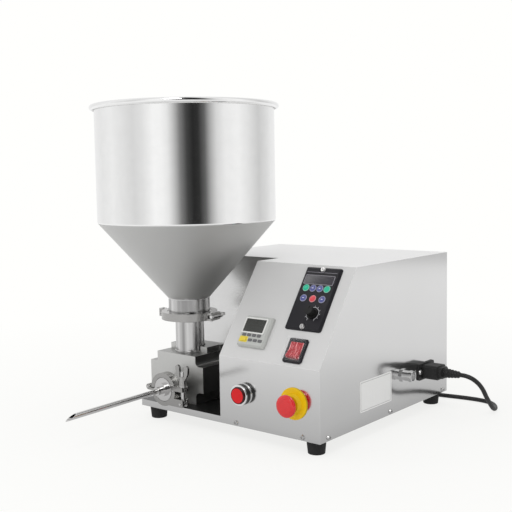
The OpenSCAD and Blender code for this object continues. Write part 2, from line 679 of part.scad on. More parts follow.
// Half band with its lug, on the +y side; the hinge knuckle is added by each half
lug_corner = 2;
module clamp_band(c, low, height) difference() {
    linear_extrude(band_w(c), center = true) intersection() {
        union() {
            circle(ring_r(c));
            translate([flange_r(c) / 2, low])
                square([lug_x(c) - flange_r(c) / 2 - lug_corner, height - low]);
            translate([lip_r(c), low + (low > 0 ? lug_corner : 0)])
                square([lug_x(c) - lip_r(c), height - low - (low > 0 ? 2 : 1) * lug_corner]);
            translate([lug_x(c) - lug_corner, height - lug_corner]) circle(lug_corner);
            if (low > 0)
                translate([lug_x(c) - lug_corner, low + lug_corner]) circle(lug_corner);
        }
        translate([-ring_r(c) - 1, split_gap / 2]) square([200, 200]);
    }
    clamp_groove(c);
    translate([bolt_x(c) - bolt_eye_r(c) - 0.4, -eps, -bolt_r(c) - gap])
        cube([50, height + 2 * eps, 2 * (bolt_r(c) + gap)]);
}
// Knuckle with its arm to the band: z0 to z1 along the pin, on the side of sy
module knuckle(c, sy, z0, z1, hole) translate([0, 0, z0]) linear_extrude(z1 - z0)
    difference() {
        union() {
            translate([-hinge_x(c), 0]) circle(eye_r(c));
            translate([-hinge_x(c), sy > 0 ? split_gap / 2 : -eye_r(c)])
                square([hinge_x(c) - ring_r(c) + 3, eye_r(c) - split_gap / 2]);
        }
        translate([-hinge_x(c), 0]) circle(hole);
        circle(flange_r(c) + gap);
    }
module moving_half(c) {
    clamp_band(c, 0, lug_h(c));
    knuckle(c, 1, -band_w(c) / 6, band_w(c) / 6, pin_r(c) + run_fit);
}
module fixed_half(c) difference() {
    union() {
        mirror([0, 1, 0]) clamp_band(c, pivot_lug(c), pivot_y(c) + 5);
        for (s = [-1, 1]) knuckle(c, -1, s > 0 ? band_w(c) / 6 + gap : -band_w(c) / 2,
            s > 0 ? band_w(c) / 2 : -band_w(c) / 6 - gap, pin_r(c));
    }
    translate([bolt_x(c), -pivot_y(c), -band_w(c)]) cylinder(h = 2 * band_w(c), r = pin_r(c));
}
module swing_bolt(c) difference() {
    union() {
        translate([bolt_x(c), -pivot_y(c), 0.4 - bolt_r(c)])
            cylinder(h = 2 * bolt_r(c) - 0.8, r = bolt_eye_r(c));
        translate([bolt_x(c), -pivot_y(c), 0]) rotate([-90, 0, 0])
            cylinder(h = bolt_end(c) + pivot_y(c), r = bolt_r(c));
    }
    translate([bolt_x(c), -pivot_y(c), -band_w(c)]) cylinder(h = 2 * band_w(c), r = pin_r(c));
}
module pins(c) {
    for (p = [[-hinge_x(c), 0], [bolt_x(c), -pivot_y(c)]])
        translate([p[0], p[1], -band_w(c) / 2 - pin_out])
            cylinder(h = band_w(c) + 2 * pin_out, r = pin_r(c));
}
seat_gap = 0.1;
washer_t = 1.6;
module on_bolt(c, d) translate([bolt_x(c), lug_h(c) + seat_gap + d, 0]) rotate([-90, 0, 0])
    children();

module hopper_clamp_front_half() color([0.70, 0.70, 0.70]) at_joint()
    fixed_half(hopper_clamp);
module hopper_clamp_rear_half() color([0.70, 0.70, 0.70]) at_joint()
    moving_half(hopper_clamp);
module hopper_clamp_bolt() color([0.72, 0.72, 0.72]) at_joint() swing_bolt(hopper_clamp);
module hopper_clamp_washer() color([0.76, 0.76, 0.76]) at_joint() on_bolt(hopper_clamp, 0)
    ring(4.8, bolt_r(hopper_clamp) + 2 * run_fit, washer_t);
module hopper_clamp_nut() color([0.75, 0.75, 0.75]) at_joint()
    on_bolt(hopper_clamp, washer_t + seat_gap) difference() {
        cylinder(h = 4.5, r = 4.8, $fn = 6);
        translate([0, 0, -eps]) cylinder(h = 9, r = bolt_r(hopper_clamp) + 2 * run_fit);
    }

module clamp_pins() color([0.75, 0.75, 0.75]) {
    at_joint() pins(hopper_clamp);
    at_outlet() pins(outlet_clamp);
}

// ---------------------------------------------------------------- inlet and hopper
module inlet_pipe() color([0.72, 0.72, 0.72]) translate([pump_x, hopper_y, 0]) union() {
    translate([0, 0, joint_z]) mirror([0, 0, 1]) rotate_extrude()
        polygon(ferrule(flange_r(hopper_clamp), pipe_r, pipe_r - pipe_wall,
            joint_z - block_top));
    translate([0, 0, block_top]) ring(pipe_seat_r, pipe_r - pipe_wall, ring_t);
}

module hopper_gasket() color([0.92, 0.92, 0.90])
    translate([pump_x, hopper_y, joint_z - gasket_t / 2])
        ring(flange_r(hopper_clamp) - 0.25, neck_r - hopper_wall, gasket_t);

// The cone's sheet is drawn level, so its two lines share one slope
module hopper() color([0.78, 0.78, 0.78]) translate([pump_x, hopper_y, 0]) rotate_extrude() {
    polygon([[neck_r - hopper_wall, joint_z + gasket_t / 2],
        [flange_r(hopper_clamp), joint_z + gasket_t / 2],
        [flange_r(hopper_clamp), joint_z + gasket_t / 2 + ferrule_rim],
        [neck_r, joint_z + gasket_t / 2 + ferrule_rim
            + (flange_r(hopper_clamp) - neck_r) * taper],
        [neck_r, cone_z0], [hopper_r, cone_z1], [hopper_r, rim_z],
        [hopper_r - hopper_wall, rim_z], [hopper_r - hopper_wall, cone_z1 + 0.6],
        [neck_r - hopper_wall, cone_z0 + 0.6]]);
    translate([hopper_r + bead_r - hopper_wall / 2, rim_z]) difference() {
        circle(bead_r);
        circle(bead_r - hopper_wall);
    }
}

// ---------------------------------------------------------------- outlet
module outlet_gasket() color([0.92, 0.92, 0.90])
    at_outlet() translate([0, 0, -gasket_t / 2])
        ring(outlet_flange_r - 0.2, port_bore_r, gasket_t);

cap_r = lip_r(outlet_clamp) - 0.7;
cap_h = band_w(outlet_clamp) / 2;
hub_r = 10.5;
hub_h = 5;
stub_r = 6.5;
stub_h = 9;
module nozzle() color([0.74, 0.74, 0.74]) at_outlet() difference() {
    union() {
        rotate_extrude() polygon(ferrule(outlet_flange_r, cap_r, 0, cap_h));
        translate([0, 0, cap_h - eps]) cylinder(h = hub_h + eps, r = hub_r);
        rotate([nozzle_drop, 0, 0]) translate([0, 0, cap_h])
            cylinder(h = hub_h + stub_h, r = stub_r);
        rotate([nozzle_drop, 0, 0]) translate([0, 0, cap_h]) difference() {
            cylinder(h = nozzle_l - cap_h, r = nozzle_r);
            along_x(-2 * nozzle_r, 2 * nozzle_r) polygon([[-nozzle_r, nozzle_l - cap_h],
                [2 * nozzle_r, nozzle_l - cap_h - 1.5 * bevel_l],
                [2 * nozzle_r, nozzle_l], [-nozzle_r, nozzle_l]]);
        }
    }
    translate([0, 0, -eps]) cylinder(h = cap_h + eps, r = port_bore_r);
    rotate([nozzle_drop, 0, 0]) cylinder(h = nozzle_l + eps, r = nozzle_bore_r);
}
nozzle_l = (nozzle_reach + port_clamp_y) / cos(nozzle_drop) + nozzle_r * tan(nozzle_drop);

module nozzle_clamp_lower_half() color([0.68, 0.68, 0.68]) at_outlet()
    fixed_half(outlet_clamp);
module nozzle_clamp_upper_half() color([0.68, 0.68, 0.68]) at_outlet()
    moving_half(outlet_clamp);
module nozzle_clamp_bolt() color([0.72, 0.72, 0.72]) at_outlet() swing_bolt(outlet_clamp);
module nozzle_clamp_washer() color([0.76, 0.76, 0.76]) at_outlet() on_bolt(outlet_clamp, 0)
    ring(6, bolt_r(outlet_clamp) + 2 * run_fit, washer_t);
wing_h = 31;
wing_reach = 13;
wing_hub = 14;
module nozzle_wing_nut() color([0.74, 0.74, 0.74]) at_outlet()
    on_bolt(outlet_clamp, washer_t + seat_gap) difference() {
        union() {
            cylinder(h = wing_hub, r1 = 5.8, r2 = 4.8);
            for (s = [0, 180]) rotate([90, 0, s]) linear_extrude(3.6, center = true) {
                polygon([[3, wing_hub - 7], [5, wing_hub - 7], [wing_reach - 1, wing_hub + 4],
                    [wing_reach, wing_h - 4], [wing_reach - 8, wing_h - 4],
                    [4.2, wing_hub - 0.2], [3, wing_hub - 0.2]]);
                translate([wing_reach - 4, wing_h - 4]) circle(4);
            }
        }
        translate([0, 0, -eps]) cylinder(h = wing_h + 1, r = bolt_r(outlet_clamp) + 2 * run_fit);
    }

// ---------------------------------------------------------------- speed controller
ctrl_screw = 45;
knob_place = [9, -24];
knob_r = 8;
knob_h = 12;
window = [50, 14.6];
window_v = 28.3;
module speed_controller() color([0.10, 0.10, 0.12]) on_slope(ctrl_x, ctrl_u) difference() {
    union() {
        bevelled(ctrl_w, ctrl_l, 4, ctrl_t, 1, 3);
        slab(ctrl_case[0], ctrl_case[1], 2, -55, 1);
    }
    for (s = [-1, 1]) translate([0, s * ctrl_screw, -eps]) cylinder(h = 10, r = m4_r);
    translate([knob_place[0], knob_place[1], -10]) cylinder(h = 20, r = 3 + run_fit);
}
module controller_display() color([0.14, 0.14, 0.17]) on_slope(ctrl_x, ctrl_u)
    translate([0, window_v, 0]) slab(window[0], window[1], 1.5, ctrl_t, ctrl_t + 0.8);
key_r = 5.5;
keys = concat([for (i = [0:3]) [-18 + 12 * i, 15]], [for (i = [0:2]) [-16 + 16 * i, -1.4]]);
module controller_keys() color([0.30, 0.34, 0.65]) on_slope(ctrl_x, ctrl_u)
    for (p = keys) translate([p[0], p[1], ctrl_t]) {
        cylinder(h = 0.5, r = key_r);
        cylinder(h = 0.9, r = key_r - 1.2);
    }
module speed_knob() color([0.05, 0.05, 0.06]) on_slope(ctrl_x, ctrl_u)
    translate([knob_place[0], knob_place[1], ctrl_t + gap]) difference() {
        union() {
            cylinder(h = 3, r = knob_r);
            cylinder(h = knob_h, r1 = knob_r - 0.8, r2 = knob_r - 1.6);
            translate([0, 0, -ctrl_t - 8]) cylinder(h = ctrl_t + 9, r = 3);
        }
        translate([-0.6, 2, knob_h - 0.8]) cube([1.2, knob_r, 2]);
        for (a = [0:30:330]) rotate([0, 0, a]) translate([knob_r - 0.4, 0, 3.6])
            cylinder(h = knob_h, r = 0.8);
    }

// ---------------------------------------------------------------- timer
reset_place = [-13.5, -14.5];
reset_size = [11, 6.5];
timer_depth = 60;
lcd = [36, 20];
lcd_place = [-2, 7.5];
module timer_case() color([0.80, 0.80, 0.78]) on_slope(timer_x, timer_u) difference() {
    union() {
        bevelled(timer_w, timer_w, 2, timer_t, 4, 2);
        slab(timer_case_w, timer_case_w, 1, -timer_depth, 1);
    }
    translate([reset_place[0], reset_place[1], 0])
        slab(reset_size[0] + 2 * gap, reset_size[1] + 2 * gap, 1, timer_t - 3, 20);
}
module timer_display() color([0.25, 0.27, 0.26]) on_slope(timer_x, timer_u)
    translate([lcd_place[0], lcd_place[1], 0]) slab(lcd[0], lcd[1], 1, timer_t, timer_t + 0.5);
timer_keys = concat([for (i = [0:3]) [-15 + 9 * i, -7.5]], [[-1, -15], [8, -15], [17, -15]]);
module timer_keypad() color([0.35, 0.35, 0.36]) on_slope(timer_x, timer_u)
    for (p = timer_keys) translate([p[0], p[1], 0]) {
        slab(7, 4.2, 1, timer_t, timer_t + 0.8);
        slab(5.4, 2.6, 1, timer_t, timer_t + 1.3);
    }
module timer_reset_key() color([0.86, 0.74, 0.20]) on_slope(timer_x, timer_u)
    translate([reset_place[0], reset_place[1], 0])
        slab(reset_size[0], reset_size[1], 1, timer_t - 3 + 0.9, timer_t + 1.6);

// ---------------------------------------------------------------- mains switch
switch_flange = [32.5, 37];
switch_flange_t = 2.5;
rocker_hw = 10.4;
rocker_tilt = 8;
rocker_axis = -2;
well = [21.6, 27];
module rocker_frame() color([0.08, 0.08, 0.08]) on_slope(switch_x, switch_u) difference() {
    union() {
        intersection() {
            bevelled(switch_flange[0], switch_flange[1], 1, switch_flange_t, 1, 1);
            rotate([0, 0, 45]) cube([45, 45, 10], center = true);
        }
        slab(switch_body[0], switch_body[1], 1.5, -26, 1);
    }
    translate([0, 0, -12]) linear_extrude(20) square(well, center = true);
    translate([-12.4, 0, rocker_axis]) rotate([0, 90, 0]) cylinder(h = 24.8, r = 1.5 + run_fit);
}
module rocker() color([0.80, 0.10, 0.12]) on_slope(switch_x, switch_u)
    translate([0, 0, rocker_axis]) rotate([-rocker_tilt, 0, 0]) union() {
        rotate([90, 0, 90]) linear_extrude(2 * rocker_hw, center = true)
            polygon([[-9, -7], [9, -7], [12.3, 2.5], [11, 7], [0, 5], [-11, 7], [-12.3, 2.5]]);
        translate([-12.1, 0, 0]) rotate([0, 90, 0]) cylinder(h = 24.2, r = 1.5);
    }
cap_out = [28, 32.5];
cap_t = 8;
module rocker_cover() color([0.95, 0.95, 0.97, 0.35]) on_slope(switch_x, switch_u)
    difference() {
        slab(cap_out[0], cap_out[1], 3, switch_flange_t, switch_flange_t + cap_t);
        slab(cap_out[0] - 2, cap_out[1] - 2, 2.2, 0, switch_flange_t + cap_t - 0.8);
    }

// ---------------------------------------------------------------- push buttons
bezel_r = 15;
bezel_h = 11.5;
cap_btn_r = 12;
start_travel = 3.5;
module start_button_body() color([0.80, 0.80, 0.80]) on_front(start_x, button_z)
    difference() {
        union() {
            cylinder(h = bezel_h, r = bezel_r);
            translate([0, 0, -26]) cylinder(h = 27, r = barrel_r);
            translate([0, 0, -sheet - 5]) cylinder(h = 5, r = bezel_r, $fn = 6);
            translate([-14, -14, -50]) cube([28, 28, 25]);
        }
        translate([0, 0, 4]) cylinder(h = 20, r = cap_btn_r + gap);
        translate([0, 0, -14]) cylinder(h = 20, r = 4 + run_fit);
    }
module start_button_cap() color([0.75, 0.10, 0.12]) on_front(start_x, button_z) {
    translate([0, 0, 4 + start_travel + gap])
        cylinder(h = 14 - 4 - start_travel - gap, r = cap_btn_r);
    translate([0, 0, -8]) cylinder(h = 18, r = 4);
}

plate_t = 2;
collar_h = 7.5;
head_z = 12;
head_h = 10;
module estop_plate() color([0.92, 0.75, 0.10]) on_front(estop_x, button_z)
    ring(estop_plate_r, barrel_r, plate_t);
module estop_body() color([0.85, 0.62, 0.10]) on_front(estop_x, button_z) difference() {
    union() {
        translate([0, 0, plate_t]) cylinder(h = collar_h - plate_t, r1 = 15, r2 = 12);
        translate([0, 0, -28]) cylinder(h = 30 + eps, r = barrel_r);
        translate([0, 0, -sheet - 5]) cylinder(h = 5, r = 15, $fn = 6);
        translate([-15, -15, -58]) cube([30, 30, 31]);
    }
    translate([0, 0, -16]) cylinder(h = 40, r = 6 + run_fit);
}
module estop_stem() color([0.12, 0.12, 0.12]) on_front(estop_x, button_z)
    translate([0, 0, -11]) cylinder(h = 29, r = 6);
module estop_head() color([0.82, 0.14, 0.15]) on_front(estop_x, button_z) difference() {
    union() {
        translate([0, 0, head_z]) cylinder(h = 4, r1 = 11, r2 = estop_head_r);
        translate([0, 0, head_z + 4]) cylinder(h = head_h - 6, r = estop_head_r);
        translate([0, 0, head_z + head_h - 2])
            cylinder(h = 2, r1 = estop_head_r, r2 = estop_head_r - 2);
    }
    translate([0, 0, head_z - eps]) cylinder(h = 7 + eps, r = 6 + run_fit);
}

// ---------------------------------------------------------------- right side
module pedal_socket() color([0.80, 0.80, 0.80]) on_side(socket_y, socket_z) difference() {
    union() {
        cylinder(h = 3, r = 10.5, $fn = 6);
        cylinder(h = socket_out, r = socket_r);
        translate([0, 0, socket_out - 5]) cylinder(h = 4, r = 9);
        translate([0, 0, -12]) cylinder(h = 13, r = socket_r);
        translate([0, 0, -sheet - 3]) cylinder(h = 3, r = 11, $fn = 6);
    }
    translate([0, 0, socket_out - 8]) ring(socket_r - 1.2, 0.01, 9);
}
inlet_flange_t = 2.5;
blades = [[0, -5], [-7, 3], [7, 3]];
module mains_inlet() color([0.10, 0.10, 0.10]) on_side(inlet_y, inlet_z) {
    difference() {
        union() {
            slab(inlet_flange[0], inlet_flange[1], 4, 0, inlet_flange_t);
            slab(inlet_body[0], inlet_body[1], 2, -24, 1);
        }
        slab(inlet_body[0] - 3, inlet_body[1] - 3, 1.5, -16, 10);
        for (s = [-1, 1]) translate([s * inlet_screw, 0, -eps]) cylinder(h = 5, r = m4_r);
    }
    for (p = blades) translate([p[0] - 1, p[1] - 2, -17]) cube([2, 4, 14]);
}

plug_face = inlet_flange_t + gap;
plug_l = 31;
relief_l = 26;
cord_x = plug_face + plug_l + relief_l;
module mains_plug() color([0.07, 0.07, 0.07]) on_side(inlet_y, inlet_z) difference() {
    union() {
        slab(inlet_body[0] - 3.6, inlet_body[1] - 3.6, 1.2, -15, 5);
        slab(30, 22, 5, plug_face, plug_face + plug_l - 6);
        slab(24, 18, 6, plug_face + plug_l - 7, plug_face + plug_l);
        translate([0, 0, plug_face + plug_l - eps])
            cylinder(h = relief_l + eps, r1 = 7, r2 = cord_r + 0.8);
        for (i = [0:4]) translate([0, 0, plug_face + plug_l + 2 + 5 * i])
            cylinder(h = 2.6, r = 7.6 - 0.55 * i);
    }
    for (p = blades) translate([p[0] - 1.2, p[1] - 2.2, -16]) cube([2.4, 4.4, 14]);
}

// ---------------------------------------------------------------- mains cord
// Route of the cord from the plug to the coil, chosen by hand on the machine's floor
floor_z = -foot_h + cord_r;
coil_x = -200;
coil_y = 425;
coil_pitch = 2 * cord_r + 0.7;
coil_turns = 2.75;
coil_end = 2 * coil_turns;
coil_r0 = 49.8;
coil_out = 11;
coil_steps = 24;
route = [[cord_x, inlet_y, inlet_z], [cord_x + 10, inlet_y, inlet_z - 0.4],
    [80, 289, 44], [87.5, 294, 36.5], [91, 302, 26], [92, 311, 14], [92, 322, 3],
    [91, 334, -7], [88.5, 348, -14], [84, 363, floor_z], [75, 377, floor_z],
    [62, 387, floor_z], [46, 391, floor_z], [28, 391, floor_z], [10, 389, floor_z],
    [-8, 386, floor_z], [-26, 383, floor_z], [-44, 380, floor_z], [-62, 377, floor_z],
    [-80, 375.2, floor_z], [-104, 375.2, floor_z], [-128, 375.2, floor_z],
    [-152, 375.2, floor_z], [-176, 375.2, floor_z],
    [coil_x, coil_y - coil_r0, floor_z]];

function unit(v) = v / norm(v);
function lie(p, i) = unit(p[min(i + 1, len(p) - 1)] - p[max(i - 1, 0)]);
// One ring of a tube about a point, square to the direction t
function tube_ring(c, t, r, n) = let (
    side = unit(cross(t, abs(t[2]) > 0.9 ? [1, 0, 0] : [0, 0, 1])), top = cross(side, t))
    [for (k = [0:n - 1]) c + r * (cos(360 * k / n) * side + sin(360 * k / n) * top)];
module tube(points, dirs, r, n) {
    m = len(points);
    pts = [for (i = [0:m - 1]) each tube_ring(points[i], dirs[i], r, n)];
    skin = [for (i = [0:m - 2], k = [0:n - 1]) each
        [[i * n + k, (i + 1) * n + k, (i + 1) * n + (k + 1) % n],
         [i * n + k, (i + 1) * n + (k + 1) % n, i * n + (k + 1) % n]]];
    caps = [for (k = [1:n - 2]) each [[0, k, k + 1],
        [(m - 1) * n, (m - 1) * n + k + 1, (m - 1) * n + k]]];
    polyhedron(points = pts, faces = concat(skin, caps));
}
module mains_cord() color([0.06, 0.06, 0.06])
    tube(route, [[1, 0, 0], for (i = [1:len(route) - 2]) lie(route, i), [-1, 0, 0]],
        cord_r, 10);

// The coil: it spirals in on the floor, climbs one layer, spirals out again, and its end
// swings clear of the turns at the height of the plug's middle
function share(t, start, span) = min(1, max(0, (t - start) / span));
function coil_radius(t) = coil_r0 + coil_out * share(t, coil_end - 0.6, 0.4)
    - coil_pitch * (t < coil_turns ? t : coil_end - t);
function coil_climb(t) = coil_pitch * share(t, coil_turns - 0.25, 0.5);
function coil_point(t) = let (a = -90 - 360 * t, r = coil_radius(t))
    [coil_x + r * cos(a), coil_y + r * sin(a), floor_z + coil_climb(t)];
coil_path = [for (i = [0:coil_end * coil_steps]) coil_point(i / coil_steps)];
function coil_dir(t) = unit(coil_point(t + 0.002) - coil_point(t - 0.002));
coil_dirs = [[-1, 0, 0], for (i = [1:coil_end * coil_steps - 1]) coil_dir(i / coil_steps),
    coil_dir(coil_end - 0.002)];
coil_gap = min([for (i = [0:len(coil_path) - 1], j = [0:len(coil_path) - 1])
    j - i > coil_steps / 2 ? norm(coil_path[i] - coil_path[j]) - 2 * cord_r : 1000]);
echo(least_gap_between_the_turns_of_the_coil = coil_gap);
module cord_coil() color([0.06, 0.06, 0.06]) tube(coil_path, coil_dirs, cord_r, 6);

// The plug for the wall, lying where the cord's end points
end_dir = coil_dirs[len(coil_dirs) - 1];
end_point = coil_path[len(coil_path) - 1];
module wall_plug() color([0.07, 0.07, 0.07]) translate(end_point)
    rotate([0, 0, atan2(end_dir[1], end_dir[0])]) rotate([90, 0, 90]) {
        cylinder(h = 24, r1 = cord_r + 0.8, r2 = 7);
        translate([0, 0, 23]) linear_extrude(30) rounded(30, 2 * (coil_pitch + cord_r), 5);
        for (s = [-1, 0, 1]) translate([8 * s - 1, (s == 0 ? -6 : 2) - 3, 52])
            cube([2, 6, 18]);
    }

row() base_pan();
row() housing_cover();
row() recess_panel();
row() rear_panel();
row() pan_screws();
row() rubber_feet();
row() pump_body();
row() pump_rear_cover();
row() cap_screws();
row() shaft_bushes();
row() shaft_seal();
row() pump_lantern();
row() drive_shaft();
row() drive_gear();
row() idler_gear();
row() shaft_coupling();
row() gearhead_shaft();
row() gearhead();
row() motor();
row() motor_bracket();
row() motor_capacitor();
row() inlet_pipe();
row() hopper_gasket();
row() hopper();
row() hopper_clamp_rear_half();
row() hopper_clamp_front_half();
row() hopper_clamp_bolt();
row() hopper_clamp_washer();
row() hopper_clamp_nut();
row() clamp_pins();
row() outlet_gasket();
row() nozzle();
row() nozzle_clamp_lower_half();
row() nozzle_clamp_upper_half();
row() nozzle_clamp_bolt();
row() nozzle_clamp_washer();
row() nozzle_wing_nut();
row() speed_controller();
row() controller_display();
row() controller_keys();
row() speed_knob();
row() timer_case();
row() timer_display();
row() timer_keypad();
row() timer_reset_key();
row() rocker_frame();
row() rocker();
row() rocker_cover();
row() start_button_body();
row() start_button_cap();
row() estop_plate();
row() estop_body();
row() estop_stem();
row() estop_head();
row() pedal_socket();
row() mains_inlet();
row() mains_plug();
row() mains_cord();
row() cord_coil();
row() wall_plug();
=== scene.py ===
"""Looks of the donut filler machine: finishes, cord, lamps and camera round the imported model."""

import json
import math

import bmesh
import bpy
from bpy.props import FloatProperty, FloatVectorProperty, PointerProperty
from mathutils import Matrix, Vector


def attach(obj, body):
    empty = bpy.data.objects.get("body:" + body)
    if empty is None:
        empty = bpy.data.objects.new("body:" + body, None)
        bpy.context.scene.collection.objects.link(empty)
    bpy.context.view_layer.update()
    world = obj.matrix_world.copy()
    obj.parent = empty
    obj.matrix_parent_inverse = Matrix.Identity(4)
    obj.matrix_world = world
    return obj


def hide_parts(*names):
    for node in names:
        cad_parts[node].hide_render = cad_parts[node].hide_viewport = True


bl_info = {
    "name": "Donut filler machine",
    "version": (1, 0, 0),
    "blender": (4, 5, 0),
    "location": "View3D > Sidebar > Donut filler",
    "description": "Dresses the packed donut filler machine and sets its stage",
    "category": "Object",
}

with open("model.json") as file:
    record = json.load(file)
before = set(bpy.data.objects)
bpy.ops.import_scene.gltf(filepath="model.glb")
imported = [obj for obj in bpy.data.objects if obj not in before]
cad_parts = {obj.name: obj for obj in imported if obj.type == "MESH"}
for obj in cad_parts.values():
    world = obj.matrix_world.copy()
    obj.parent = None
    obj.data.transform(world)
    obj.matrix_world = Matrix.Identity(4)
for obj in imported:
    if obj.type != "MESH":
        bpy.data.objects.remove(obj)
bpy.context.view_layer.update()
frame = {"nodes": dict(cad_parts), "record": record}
NODES = frame["nodes"]
BODY_OF = {n: b for b, ns in frame["record"]["behaviour"]["bodies"].items() for n in ns}

# ---------------------------------------------------------------- places
# The machine frame of the solids, in millimetres: x = 0 is the right side wall,
# y = 0 the front, z = 0 the lower edge of the sheet. The row's origin lies here in it.
ROW_X, ROW_Y, ROW_Z = -209.5, 83.7, -19.6
MM = 0.001
FRONT_H = 99.6
SLOPE = math.atan2(229.5 - FRONT_H, 91.4)


def at(x, y, z):
    """A point of the machine frame, as a point of the row in metres."""
    return Vector(((x - ROW_X) * MM, (y - ROW_Y) * MM, (z - ROW_Z) * MM))


def turned(origin, *turns):
    """A matrix that puts a piece drawn in millimetres about 0 at origin, after the turns."""
    m = Matrix.Translation(origin)
    for angle, axis in turns:
        m = m @ Matrix.Rotation(angle, 4, axis)
    return m @ Matrix.Scale(MM, 4)


def on_slope(x, u, v=0.0, w=0.0):
    """Local X along the panel, Y up the slope and Z out of it."""
    s = u + v
    spot = at(w - x, s * math.cos(SLOPE), FRONT_H + s * math.sin(SLOPE))
    return turned(spot, (SLOPE, "X"))


def on_front(x, z):
    return turned(at(-x, 0, z), (math.pi / 2, "X"))


def on_side(y, z):
    return turned(at(0, y, z), (math.pi / 2, "Z"), (math.pi / 2, "X"))


# ---------------------------------------------------------------- shader maths
class Socket:
    """A socket in a material's nodes, with + - * / written as Math nodes."""

    def __init__(self, finish, socket):
        self.finish = finish
        self.socket = socket

    def _math(self, kind, a, b, clamp=False):
        return self.finish.node("ShaderNodeMath", {"operation": kind, "use_clamp": clamp}, a, b)

    def __add__(self, other):
        return self._math("ADD", self, other)

    def __sub__(self, other):
        return self._math("SUBTRACT", self, other)

    def __rsub__(self, other):
        return self._math("SUBTRACT", other, self)

    def __mul__(self, other):
        return self._math("MULTIPLY", self, other)

    def __truediv__(self, other):
        return self._math("DIVIDE", self, other)

    def __pow__(self, other):
        return self._math("POWER", self, other)

    __radd__ = __add__
    __rmul__ = __mul__

    def clamped(self):
        return self._math("ADD", self, 0.0, clamp=True)


class Nodes:
    """A node tree, and the few ways in which this file adds nodes to it."""

    def __init__(self, tree):
        self.tree = tree
        self.tree.nodes.clear()

    def node(self, kind, settings, *inputs, pick=0, **named):
        """A node with its settings made first, then its inputs by order or by name."""
        made = self.tree.nodes.new(kind)
        for key, value in settings.items():
            if key == "ramp":
                self._ramp(made.color_ramp, value)
            else:
                setattr(made, key, value)
        for index, value in [*enumerate(inputs), *named.items()]:
            self.feed(made.inputs[index], value)
        return Socket(self, made.outputs[pick])

    @staticmethod
    def _ramp(ramp, stops):
        while len(ramp.elements) < len(stops):
            ramp.elements.new(1.0)
        for element, (place, shade) in zip(ramp.elements, stops):
            element.position = place
            element.color = (*shade, 1.0) if hasattr(shade, "__len__") else (shade,) * 3 + (1.0,)

    def feed(self, socket, value):
        if isinstance(value, Socket):
            self.tree.links.new(value.socket, socket)
        elif value is not None:
            if hasattr(value, "__len__") and len(value) == 3 and socket.type == "RGBA":
                value = (*value, 1.0)
            socket.default_value = value

    def place(self, stretch=(1.0, 1.0, 1.0), turn=(0.0, 0.0, 0.0)):
        """The piece's own coordinates, in metres, turned and then stretched."""
        spot = self.node("ShaderNodeTexCoord", {}, pick="Object")
        return self.node("ShaderNodeMapping", {}, spot, Rotation=turn, Scale=stretch)

    def parts(self):
        """The piece's own x, y and z, in metres."""
        split = self.node("ShaderNodeSeparateXYZ", {}, self.place())
        return [Socket(self, out) for out in split.socket.node.outputs]

    def noise(self, spot, scale, detail=3.0, rough=0.5):
        return self.node("ShaderNodeTexNoise", {}, spot, Scale=scale, Detail=detail,
                         Roughness=rough)

    def mix(self, amount, a, b):
        """A colour between a and b."""
        made = self.tree.nodes.new("ShaderNodeMix")
        made.data_type = "RGBA"
        for index, value in ((0, amount), (6, a), (7, b)):
            self.feed(made.inputs[index], value)
        return Socket(self, made.outputs[2])

    def tinted(self, amount, tint, low, high):
        """A tint made darker or lighter, between two factors."""
        return self.mix(amount, shade(tint, low), shade(tint, high))

    def bump(self, height, depth, strength=1.0):
        return self.node("ShaderNodeBump", {}, Height=height, Distance=depth, Strength=strength)

    def ramp(self, amount, stops):
        return self.node("ShaderNodeValToRGB", {"ramp": stops}, amount)

    def ray(self, kind):
        """1 for rays of one kind: Camera, Glossy or Transmission."""
        return self.node("ShaderNodeLightPath", {}, pick="Is %s Ray" % kind)


class Finish(Nodes):
    """One material, built from nodes."""

    def __init__(self, name):
        self.material = bpy.data.materials.new(name)
        self.material.use_nodes = True
        super().__init__(self.material.node_tree)
        self.out = self.tree.nodes.new("ShaderNodeOutputMaterial")

    def close(self, **sockets):
        """Ends the material in a Principled shader with these inputs."""
        shader = self.tree.nodes.new("ShaderNodeBsdfPrincipled")
        for name, value in sockets.items():
            self.feed(shader.inputs[name.replace("_", " ")], value)
        self.tree.links.new(shader.outputs[0], self.out.inputs[0])
        return self.material


def shade(colour, factor):
    return tuple(min(1.0, c * factor) for c in colour[:3])


# ---------------------------------------------------------------- finishes
def steel(f, colour, rough, height, depth, strength, metal=1.0, **more):
    """Ends a finish in bare steel with a bump of depth metres."""
    return f.close(Base_Color=colour, Metallic=metal, Roughness=rough.clamped(),
                   Normal=f.bump(height, depth, strength), **more)


def rolled_steel(name, tint, rough=0.12, lines="X", line_depth=2e-6):
    """Stainless sheet with the faint lines of its rolling along one axis."""
    f = Finish(name)
    stretch = [900.0, 900.0, 900.0]
    stretch["XYZ".index(lines)] = 14.0
    streaks = f.noise(f.place(tuple(stretch)), 1.0, 4.0, 0.6)
    clouds = f.noise(f.place(), 9.0, 3.0)
    worn = f.noise(f.place((1, 1, 1), (0.4, 0.2, 0.1)), 55.0, 5.0, 0.65)
    return steel(f, f.tinted(clouds * 0.7 + worn * 0.3, tint, 0.97, 1.03),
                 rough + (streaks - 0.5) * 0.06 + (worn - 0.5) * 0.05, streaks, line_depth, 0.6)


def machined_steel(name, tint, rough=0.28, depth=6e-6):
    """Milled and blasted steel: fine pits and a cloudy sheen."""
    f = Finish(name)
    pits = f.noise(f.place(), 1500.0, 3.0, 0.7)
    clouds = f.noise(f.place(), 28.0, 4.0)
    return steel(f, f.tinted(clouds, tint, 0.92, 1.04),
                 rough + (clouds - 0.5) * 0.10 + (pits - 0.5) * 0.08, pits, depth, 0.7)


